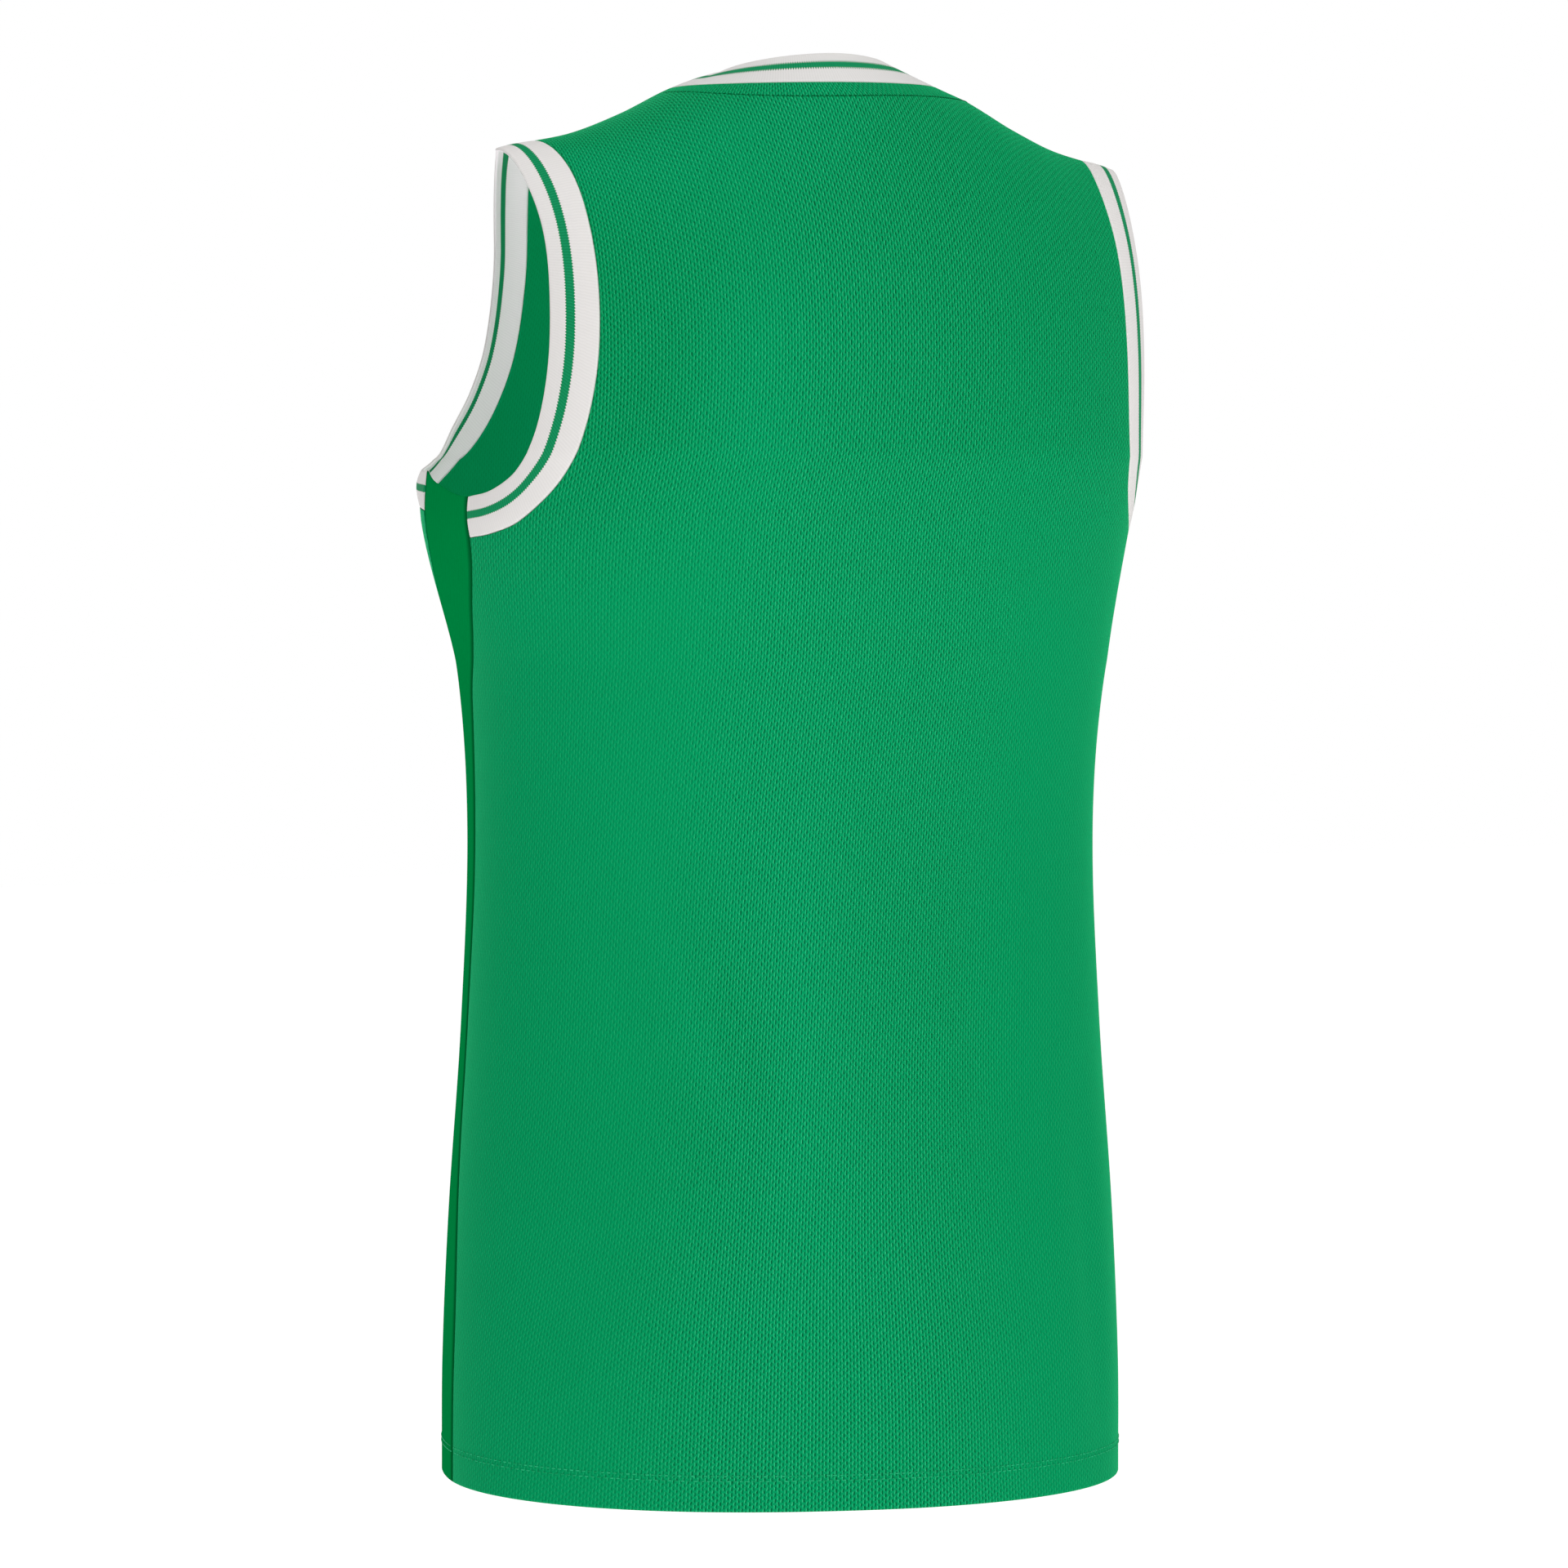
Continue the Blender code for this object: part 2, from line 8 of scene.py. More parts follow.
import logging
import math
from dataclasses import dataclass, field
from enum import Enum
from typing import Any, Optional

import bpy
import numpy as np
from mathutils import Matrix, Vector


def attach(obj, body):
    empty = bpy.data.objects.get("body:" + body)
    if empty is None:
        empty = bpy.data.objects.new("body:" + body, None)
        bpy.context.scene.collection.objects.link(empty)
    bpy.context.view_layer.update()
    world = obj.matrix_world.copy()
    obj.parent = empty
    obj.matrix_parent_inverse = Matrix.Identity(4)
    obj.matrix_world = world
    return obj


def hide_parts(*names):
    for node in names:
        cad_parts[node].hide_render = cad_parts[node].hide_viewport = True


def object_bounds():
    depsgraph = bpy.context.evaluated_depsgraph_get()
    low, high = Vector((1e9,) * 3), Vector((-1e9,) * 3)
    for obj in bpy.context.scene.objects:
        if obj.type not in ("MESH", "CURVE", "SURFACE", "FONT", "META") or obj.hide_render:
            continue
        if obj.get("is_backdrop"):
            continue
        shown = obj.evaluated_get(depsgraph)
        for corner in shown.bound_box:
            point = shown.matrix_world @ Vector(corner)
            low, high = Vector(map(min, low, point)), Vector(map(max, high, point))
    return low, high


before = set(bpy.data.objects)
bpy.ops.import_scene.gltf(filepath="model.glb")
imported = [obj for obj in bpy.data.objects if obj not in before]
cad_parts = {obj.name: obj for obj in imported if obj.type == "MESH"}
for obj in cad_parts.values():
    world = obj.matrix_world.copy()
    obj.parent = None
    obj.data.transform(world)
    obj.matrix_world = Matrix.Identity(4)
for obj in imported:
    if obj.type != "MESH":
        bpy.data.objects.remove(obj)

LOG = logging.getLogger("jersey")
MM = 0.001
Array = np.ndarray


# ---------------------------------------------------------------- choices
class Half(Enum):
    """Half of the body that a piece of the skin belongs to."""

    BACK = 1
    FRONT = -1


class Side(Enum):
    """Side of the wearer that a paired piece belongs to."""

    LEFT = 1
    RIGHT = -1


class Edge(Enum):
    """Border of a grid of points."""

    FIRST_ROW = "first row"
    LAST_ROW = "last row"
    FIRST_COLUMN = "first column"
    LAST_COLUMN = "last column"


# ---------------------------------------------------------------- small tools
def to_linear(hex_colour: str) -> tuple[float, float, float, float]:
    """Turn an sRGB hex colour into linear RGBA.

    Args:
        hex_colour: six hex digits after a hash sign.

    Returns:
        Linear red, green, blue and an alpha of 1.
    """
    channels = [int(hex_colour[i:i + 2], 16) / 255.0 for i in (1, 3, 5)]
    linear = [c / 12.92 if c <= 0.04045 else ((c + 0.055) / 1.055) ** 2.4 for c in channels]
    return (linear[0], linear[1], linear[2], 1.0)


def through(knots: Any, values: Any, at: Any) -> Array:
    """Read the smooth curve through the rows of a table, held at both ends.

    Args:
        knots: rising places of the rows.
        values: value of each row.
        at: places to read, one number or an array.

    Returns:
        Array of values in the shape of at.
    """
    k, v = np.asarray(knots, float), np.asarray(values, float)
    place = np.clip(np.asarray(at, float), k[0], k[-1])
    before = np.maximum(np.arange(len(k)) - 1, 0)
    after = np.minimum(np.arange(len(k)) + 1, len(k) - 1)
    slopes = (v[after] - v[before]) / (k[after] - k[before])
    low = np.clip(np.searchsorted(k, place, side="right") - 1, 0, len(k) - 2)
    span = k[low + 1] - k[low]
    t = (place - k[low]) / span
    return ((2 * t**3 - 3 * t**2 + 1) * v[low] + (t**3 - 2 * t**2 + t) * span * slopes[low]
            + (3 * t**2 - 2 * t**3) * v[low + 1] + (t**3 - t**2) * span * slopes[low + 1])


def eased(low: float, high: float, at: Any) -> Array:
    """Return 0 below low, 1 above high and a smooth step between."""
    t = np.clip((np.asarray(at, float) - low) / (high - low), 0.0, 1.0)
    return t * t * (3.0 - 2.0 * t)


def unit(vectors: Array) -> Array:
    """Scale vectors on the last axis to length 1."""
    return vectors / np.maximum(np.linalg.norm(vectors, axis=-1, keepdims=True), 1e-12)


def shares_with_rims(count: int, length: float, first: bool, last: bool) -> Array:
    """Space shares from 0 to 1 evenly, with close extra ones at borders that are rolled.

    Args:
        count: number of even steps.
        length: real length that the shares cover, in metres.
        first: whether the border at 0 gets the extra ones.
        last: whether the border at 1 gets the extra ones.

    Returns:
        Rising array of shares.
    """
    close = np.array([0.25, 0.6, 1.1, 1.8]) * MM / length
    parts = [np.linspace(0.0, 1.0, count + 1)]
    if first:
        parts.append(close)
    if last:
        parts.append(1.0 - close)
    shares = np.sort(np.concatenate(parts))
    keep = np.concatenate([[True], np.diff(shares) > 0.1 * MM / length])
    keep[-1] = True
    return shares[keep]


def main_output(node: bpy.types.Node) -> bpy.types.NodeSocket:
    """Return the first output of a node that is in use."""
    return next(output for output in node.outputs if output.enabled)


def add_node(tree: bpy.types.NodeTree, kind: str, *values: Any,
             inputs: Optional[dict[str, Any]] = None, **settings: Any) -> bpy.types.Node:
    """Add a node with its settings, values and links.

    Args:
        tree: node tree of a material or the world.
        kind: type name of the node, without the words that all of them start with.
        *values: what its inputs in use take, in order: a value, a socket, or a node that
            stands for its first output in use.
        inputs: what other inputs take, by name.
        **settings: properties of the node.

    Returns:
        The new node.
    """
    node = tree.nodes.new("ShaderNode" + kind)
    for name, value in settings.items():
        setattr(node, name, value)
    sockets = [socket for socket in node.inputs if socket.enabled]
    fed = list(zip(sockets, values))
    fed += [(node.inputs[name], value) for name, value in (inputs or {}).items()]
    for socket, value in fed:
        if isinstance(value, bpy.types.Node):
            value = main_output(value)
        if isinstance(value, bpy.types.NodeSocket):
            tree.links.new(value, socket)
        else:
            socket.default_value = value
    return node


# ---------------------------------------------------------------- finishes
@dataclass(frozen=True)
class KnitShader:
    """What every knit here shares: a matt dyed yarn with short fuzz."""

    roughness: float = 0.80
    specular: float = 0.03
    sheen: float = 0.30
    sheen_roughness: float = 0.40
    sheen_tint: str = "#10FFA0"
    shine: str = "#000000"                  # coloured shine of drawn filament
    shine_roughness: float = 0.42
    bump_strength: float = 0.5

    def new(self, name: str) -> tuple[bpy.types.Material, bpy.types.NodeTree, bpy.types.Node]:
        """Start a material with its shader.

        Args:
            name: name of the material.

        Returns:
            The material, its node tree and its shader node.
        """
        material = bpy.data.materials.new(name)
        material.use_nodes = True
        tree = material.node_tree
        tree.nodes.clear()
        shader = add_node(tree, "BsdfPrincipled", inputs={
            "Roughness": self.roughness,
            "Metallic": 0.0,
            "IOR": 1.5,
            "Specular IOR Level": self.specular,
            "Sheen Weight": self.sheen,
            "Sheen Roughness": self.sheen_roughness,
            "Sheen Tint": to_linear(self.sheen_tint),
        })
        shine = add_node(tree, "BsdfAnisotropic", inputs={
            "Color": to_linear(self.shine), "Roughness": self.shine_roughness})
        add_node(tree, "OutputMaterial", add_node(tree, "AddShader", shader, shine))
        return material, tree, shader

    def finish(self, tree: bpy.types.NodeTree, shader: bpy.types.Node, colour: bpy.types.Node,
               height: Any, relief: float) -> None:
        """Feed a shader its colour, and the relief that the light picks out.

        Args:
            tree: node tree of the material.
            shader: shader node of the material.
            colour: node that gives the colour.
            height: node or socket of the relief, 1 at its highest.
            relief: height of the relief, in metres.
        """
        bump = add_node(tree, "Bump", inputs={
            "Strength": self.bump_strength, "Distance": relief, "Height": height})
        tree.links.new(bump.outputs[0], shader.inputs["Normal"])
        tree.links.new(main_output(colour), shader.inputs["Base Color"])


def grain_of(tree: bpy.types.NodeTree) -> tuple[Any, Any, bpy.types.Node]:
    """Read the cloth's own coordinates, in metres across and along the knit.

    Args:
        tree: node tree of a material.

    Returns:
        The two output sockets, across and along, and a node that gives both as one place.
    """
    split = add_node(tree, "SeparateXYZ", add_node(tree, "UVMap", uv_map="grain"))
    across, along = split.outputs[0], split.outputs[1]
    return across, along, add_node(tree, "CombineXYZ", across, along)


@dataclass(frozen=True)
class PolyesterMeshKnit:
    """Piece-dyed polyester warp knit with small staggered slits between raised wales.

    It is a mid green with painted shade in each slit and a painted highlight on the raised strand
    beside it.  The slits repeat every 3.05 mm across and 3.7 mm down, staggered by half a
    repeat, so a column of them stands every 1.5 mm.  They open where the cloth is pulled flat
    over the middle of the body and close towards its sides.
    """

    name: str = "polyester_mesh_knit_green"
    ground: str = "#00864E"
    # painted shade in the slits
    shaded_slit: str = "#004E24"
    # painted highlight on the strands beside the slits
    lit_strand: str = "#2DB176"
    repeat_across: float = 3.05 * MM
    repeat_down: float = 3.7 * MM
    slit_half_width: float = 0.125          # of a repeat
    slit_half_height: float = 0.36
    end_power: float = 4.0                  # squares off the ends of a slit
    oval_edge: tuple[float, float] = (0.15, 1.5)
    strand_offset: float = 0.19
    strand_half_width: float = 0.085
    slit_shade_share: float = 0.80                # share of the slit's painted shade
    # share of the strands' painted highlight
    strand_highlight_share: float = 0.60
    strand_rise: float = 0.4                # its relief against a slit's
    uneven: float = 0.15                    # of a repeat, sideways
    uneven_scale: float = 420.0             # a wave every 2.4 mm
    fluff_scale: float = 900.0              # a wave every 1.1 mm
    fluff_range: tuple[float, float] = (0.30, 0.70)
    fluff_share: tuple[float, float] = (0.45, 1.15)
    lean: float = 0.02                      # slits lean by this much of a repeat over their height
    relief: float = 0.22 * MM
    open_reach: tuple[float, float] = (30.0 * MM, 115.0 * MM)   # from the middle line
    open_share: tuple[float, float] = (1.45, 0.50)              # how open at each
    upper_back: tuple[float, float] = (0.46, 0.56)              # open all across above this
    upper_share: float = 1.10
    base: KnitShader = KnitShader(shine="#002A20")

    def staggered(self, tree: bpy.types.NodeTree, u: Any, v: Any, offset: float,
                  half_width: float) -> bpy.types.Node:
        """Mask of small upright ovals on two lattices, half a repeat apart.

        Args:
            tree: node tree of the material.
            u: repeats across.
            v: repeats along.
            offset: place of the ovals, in repeats across.
            half_width: half width of an oval, in repeats.

        Returns:
            A node whose output is 1 inside an oval and 0 outside.
        """
        nearest: Any = None
        for shift in (0.0, 0.5):
            raised = add_node(tree, "Math", v, shift, operation="ADD")
            turn_v = add_node(tree, "Math", add_node(tree, "Math", raised, operation="FRACT"),
                              0.5, operation="SUBTRACT")
            leant = add_node(tree, "Math", turn_v, self.lean, u, operation="MULTIPLY_ADD")
            moved = add_node(tree, "Math", leant, shift - offset, operation="ADD")
            turn_u = add_node(tree, "Math", add_node(tree, "Math", moved, operation="FRACT"),
                              0.5, operation="SUBTRACT")
            a = add_node(tree, "Math", turn_u, half_width, operation="DIVIDE")
            b = add_node(tree, "Math", turn_v, self.slit_half_height, operation="DIVIDE")
            flat_end = add_node(tree, "Math", b, self.end_power, operation="POWER")
            square = add_node(tree, "Math", a, a, flat_end, operation="MULTIPLY_ADD")
            nearest = square if nearest is None else add_node(tree, "Math", nearest, square,
                                                              operation="MINIMUM")
        return add_node(tree, "MapRange", nearest, *self.oval_edge, 1.0, 0.0,
                        interpolation_type="SMOOTHSTEP")

    def material(self) -> bpy.types.Material:
        """Build the material: slits and strands in relief, with painted shade and painted highlight.
        """
        material, tree, shader = self.base.new(self.name)
        across, along, place = grain_of(tree)
        yarn = add_node(tree, "TexNoise", inputs={
            "Vector": place.outputs[0], "Scale": self.uneven_scale, "Detail": 2.0})
        uneven = add_node(tree, "Math", yarn, 2.0 * self.uneven, -self.uneven,
                          operation="MULTIPLY_ADD")
        u = add_node(tree, "Math", across, self.repeat_across, operation="DIVIDE")
        u = add_node(tree, "Math", u, uneven, operation="ADD")
        v = add_node(tree, "Math", along, self.repeat_down, operation="DIVIDE")
        shaded_slit = self.staggered(tree, u, v, 0.0, self.slit_half_width)
        lit_strand = self.staggered(tree, u, v, self.strand_offset, self.strand_half_width)
        vary = self.openness(tree, across, along, place)
        # painted highlight on the strands, then painted shade in the slits, both scaled by how open
        # the slits are
        lift = add_node(tree, "Math", lit_strand, self.strand_highlight_share, operation="MULTIPLY")
        lift = add_node(tree, "Math", lift, vary, operation="MULTIPLY")
        colour = add_node(tree, "Mix", lift, to_linear(self.ground), to_linear(self.lit_strand),
                          data_type="RGBA")
        depth = add_node(tree, "Math", shaded_slit, self.slit_shade_share, operation="MULTIPLY")
        depth = add_node(tree, "Math", depth, vary, operation="MULTIPLY")
        colour = add_node(tree, "Mix", depth, colour, to_linear(self.shaded_slit), data_type="RGBA")
        raised = add_node(tree, "Math", lit_strand, self.strand_rise, operation="MULTIPLY")
        height = add_node(tree, "Math", raised, shaded_slit, operation="SUBTRACT")
        self.base.finish(tree, shader, colour, height, self.relief)
        return material

    def openness(self, tree: bpy.types.NodeTree, across: Any, along: Any,
                 place: bpy.types.Node) -> bpy.types.Node:
        """Work out how open the slits are: by place on the body, and unevenly among them.

        Args:
            tree: node tree of the material.
            across: socket of metres across.
            along: socket of metres along.
            place: node that gives both.

        Returns:
            A node whose output is about 1 where they are as open as usual.
        """
        fluff = add_node(tree, "TexNoise", inputs={
            "Vector": place.outputs[0], "Scale": self.fluff_scale, "Detail": 2.0})
        vary = add_node(tree, "MapRange", fluff, *self.fluff_range, *self.fluff_share,
                        interpolation_type="SMOOTHSTEP")
        aside = add_node(tree, "Math", across, operation="ABSOLUTE")
        opened = add_node(tree, "MapRange", aside, *self.open_reach, *self.open_share,
                          interpolation_type="SMOOTHSTEP")
        upper = add_node(tree, "MapRange", along, *self.upper_back, self.open_share[1],
                         self.upper_share, interpolation_type="SMOOTHSTEP")
        opened = add_node(tree, "Math", opened, upper, operation="MAXIMUM")
        return add_node(tree, "Math", vary, opened, operation="MULTIPLY")


@dataclass(frozen=True)
class PolyesterCloseKnit:
    """Plain polyester warp knit, smooth and close, dyed a yellower and darker green.

    Its wales stand 1.1 mm apart: too fine to show, so they are drawn every 2.2 mm and faint.
    """

    name: str = "polyester_close_knit_green"
    ground: str = "#007C3A"
    wale: str = "#008544"
    repeat_across: float = 2.2 * MM
    wale_share: float = 0.35
    cloud_share: float = 0.4
    cloud_scale: float = 14.0               # a wave every 70 mm
    relief: float = 0.10 * MM
    seam_shade: str = "#005226"                  # painted shade beside the seams
    # reach of that painted shade from each seam
    seam_shade_reach: float = 5.0 * MM
    width: float = 55.0 * MM
    base: KnitShader = KnitShader(roughness=0.72, specular=0.0, sheen=0.0)

    def material(self) -> bpy.types.Material:
        """Build the material: faint wales, a soft unevenness and painted shade beside the seams."""
        material, tree, shader = self.base.new(self.name)
        across, _, place = grain_of(tree)
        turn = add_node(tree, "Math", across, 2.0 * math.pi / self.repeat_across,
                        operation="MULTIPLY")
        wave = add_node(tree, "Math", turn, operation="COSINE")
        wale = add_node(tree, "Math", wave, 0.5, 0.5, operation="MULTIPLY_ADD")
        cloud = add_node(tree, "TexNoise", inputs={
            "Vector": place.outputs[0], "Scale": self.cloud_scale, "Detail": 3.0})
        cloudy = add_node(tree, "Math", cloud, self.cloud_share, operation="MULTIPLY")
        lift = add_node(tree, "Math", wale, self.wale_share, cloudy, operation="MULTIPLY_ADD")
        colour = add_node(tree, "Mix", lift, to_linear(self.ground), to_linear(self.wale),
                          data_type="RGBA")
        # painted shade beside the seams, on both borders
        middle = add_node(tree, "Math", across, self.width / 2, operation="SUBTRACT")
        aside = add_node(tree, "Math", middle, operation="ABSOLUTE")
        seam_shade = add_node(tree, "MapRange", aside, self.width / 2 - self.seam_shade_reach,
                         self.width / 2, interpolation_type="SMOOTHSTEP")
        colour = add_node(tree, "Mix", seam_shade, colour, to_linear(self.seam_shade), data_type="RGBA")
        self.base.finish(tree, shader, colour, wale, self.relief)
        return material


@dataclass(frozen=True)
class CottonRibKnit:
    """Doubled rib knit in natural white with one dyed stripe knitted in along it.

    The ribs run across the band, 1.25 mm apart at the neck and stretched to 1.5 mm round the
    arm.  They give the stripe finely toothed borders and the white a faint corduroy, which is
    painted shade in their furrows.  The band's own coordinates are metres along it and the share
    of its width from its fold.
    """

    name: str = "cotton_rib_knit_white"
    white: str = "#DDDAD8"
    # painted shade in the furrows of the white
    furrow_shade: str = "#D6D3D1"
    stripe: str = "#178E5C"
    # painted shade in the furrows of the stripe
    stripe_furrow_shade: str = "#087443"
    stripe_low: float = 0.360
    stripe_high: float = 0.545
    tooth: float = 0.011                    # half depth of a tooth, as a share of the width
    border: float = 0.006                   # half width over which a border of the stripe turns
    rib: float = 1.5 * MM
    wander: float = 0.6                     # of a rib
    wander_scale: float = 18.0              # a wave every 55 mm
    # how much of the furrows' painted shade shows
    furrow_shade_share: float = 0.7
    relief: float = 0.06 * MM
    base: KnitShader = KnitShader(roughness=0.90, sheen=0.03, sheen_tint="#FFFFFF")

    def material(self) -> bpy.types.Material:
        """Build the material: ribs with painted shade in their furrows, and a stripe with toothed
        borders.
        """
        material, tree, shader = self.base.new(self.name)
        along, share, place = grain_of(tree)
        turns = add_node(tree, "Math", along, self.rib, operation="DIVIDE")
        wander = add_node(tree, "TexNoise", inputs={
            "Vector": place.outputs[0], "Scale": self.wander_scale, "Detail": 2.0})
        turns = add_node(tree, "Math", wander, self.wander, turns, operation="MULTIPLY_ADD")
        turns = add_node(tree, "Math", turns, 2.0 * math.pi, operation="MULTIPLY")
        wave = add_node(tree, "Math", turns, operation="COSINE")
        rib = add_node(tree, "Math", wave, 0.5, 0.5, operation="MULTIPLY_ADD")
        tooth = add_node(tree, "Math", rib, 2.0 * self.tooth, -self.tooth,
                         operation="MULTIPLY_ADD")
        inside: Any = 1.0
        for operation, border, start, end in (("ADD", self.stripe_low, 0.0, 1.0),
                                              ("SUBTRACT", self.stripe_high, 1.0, 0.0)):
            toothed = add_node(tree, "Math", share, tooth, operation=operation)
            mask = add_node(tree, "MapRange", toothed, border - self.border, border + self.border,
                            start, end, interpolation_type="SMOOTHSTEP")
            inside = add_node(tree, "Math", mask, inside, operation="MULTIPLY")
        # painted shade in the furrows between the ribs
        furrow_shade_mask = add_node(tree, "Math", rib, self.furrow_shade_share, operation="MULTIPLY")
        white = add_node(tree, "Mix", furrow_shade_mask, to_linear(self.white), to_linear(self.furrow_shade),
                         data_type="RGBA")
        green = add_node(tree, "Mix", furrow_shade_mask, to_linear(self.stripe),
                         to_linear(self.stripe_furrow_shade), data_type="RGBA")
        colour = add_node(tree, "Mix", inside, white, green, data_type="RGBA")
        height = add_node(tree, "Math", 1.0, rib, operation="SUBTRACT")
        self.base.finish(tree, shader, colour, height, self.relief)
        return material


@dataclass(frozen=True)
class PolyesterThread:
    """Spun polyester sewing thread, twisted, a touch lighter than the cloth it holds."""

    name: str = "polyester_thread_green"
    ground: str = "#2BB27C"
    # painted shade in the grooves of the twist
    shade: str = "#0E8F59"
    twist: float = 0.9 * MM
    base: KnitShader = KnitShader(roughness=0.55, sheen=0.05)

    def material(self) -> bpy.types.Material:
        """Build the material: a green with painted shade along the grooves of its twist."""
        material, tree, shader = self.base.new(self.name)
        place = add_node(tree, "TexCoord")
        ply = add_node(tree, "TexWave", inputs={
            "Vector": place.outputs["Object"], "Scale": 1.0 / (2.0 * math.pi * self.twist),
            "Distortion": 1.0}, bands_direction="DIAGONAL")
        colour = add_node(tree, "Mix", ply.outputs[1], to_linear(self.shade),
                          to_linear(self.ground), data_type="RGBA")
        tree.links.new(main_output(colour), shader.inputs["Base Color"])
        return material


# ---------------------------------------------------------------- the shared skin
@dataclass(frozen=True)
class Section:
    """Level of the body: sizes from the side line at a height above the hem."""

    height: float
    half_width: float
    behind: float
    ahead: float
    squareness: float


@dataclass(frozen=True)
class Row:
    """Row of a short table: a place and one or two values there."""

    at: float
    value: float
    other: float = 0.0


@dataclass(frozen=True)
class ArmholeRow:
    """Armhole band: heights, and angles round the skin, of its seam and its free edge."""

    seam_height: float
    seam_angle: float
    edge_height: float
    edge_angle: float


@dataclass(frozen=True)
class Fold:
    """Soft crease or swell between two places, each an angle in degrees and a height."""

    half: Half
    start: tuple[float, float]
    end: tuple[float, float]
    spread: float
    rise: float


FOLDS = (
    Fold(Half.BACK, (48.0, 0.310), (24.0, 0.185), 0.016, -0.0022),
    Fold(Half.BACK, (36.0, 0.335), (13.0, 0.205), 0.016, -0.0020),
    Fold(Half.BACK, (2.0, 0.450), (4.0, 0.170), 0.030, 0.0022),
    Fold(Half.BACK, (-52.0, 0.200), (-58.0, 0.030), 0.018, -0.0020),
    Fold(Half.BACK, (32.0, 0.140), (22.0, 0.040), 0.030, 0.0020),
    Fold(Half.FRONT, (-46.0, 0.320), (-22.0, 0.190), 0.016, -0.0022),
    Fold(Half.FRONT, (40.0, 0.300), (16.0, 0.180), 0.018, -0.0020),
    Fold(Half.FRONT, (0.0, 0.420), (-4.0, 0.120), 0.034, 0.0022),
    Fold(Half.BACK, (-20.0, 0.350), (-24.0, 0.190), 0.016, -0.0009),
    Fold(Half.BACK, (-33.0, 0.360), (-37.0, 0.200), 0.018, 0.0009),
    Fold(Half.BACK, (-12.0, 0.605), (-34.0, 0.625), 0.012, -0.0006),
    Fold(Half.BACK, (30.0, 0.600), (52.0, 0.500), 0.014, -0.0007),
    Fold(Half.BACK, (52.0, 0.120), (46.0, 0.060), 0.020, -0.0010),
    Fold(Half.BACK, (5.0, 0.115), (3.0, 0.020), 0.010, -0.0006),
    Fold(Half.BACK, (-18.0, 0.110), (-16.0, 0.020), 0.026, 0.0010),
    Fold(Half.BACK, (66.0, 0.470), (40.0, 0.420), 0.014, -0.0007),
    Fold(Half.FRONT, (18.0, 0.470), (30.0, 0.330), 0.018, -0.0009),
    Fold(Half.FRONT, (-20.0, 0.480), (-34.0, 0.350), 0.018, -0.0009),
    Fold(Half.FRONT, (52.0, 0.200), (58.0, 0.040), 0.020, -0.0012),
    Fold(Half.FRONT, (-30.0, 0.140), (-24.0, 0.030), 0.028, 0.0012),
    Fold(Half.FRONT, (8.0, 0.120), (6.0, 0.020), 0.012, -0.0007),
    Fold(Half.FRONT, (-62.0, 0.460), (-42.0, 0.400), 0.014, -0.0008),
)


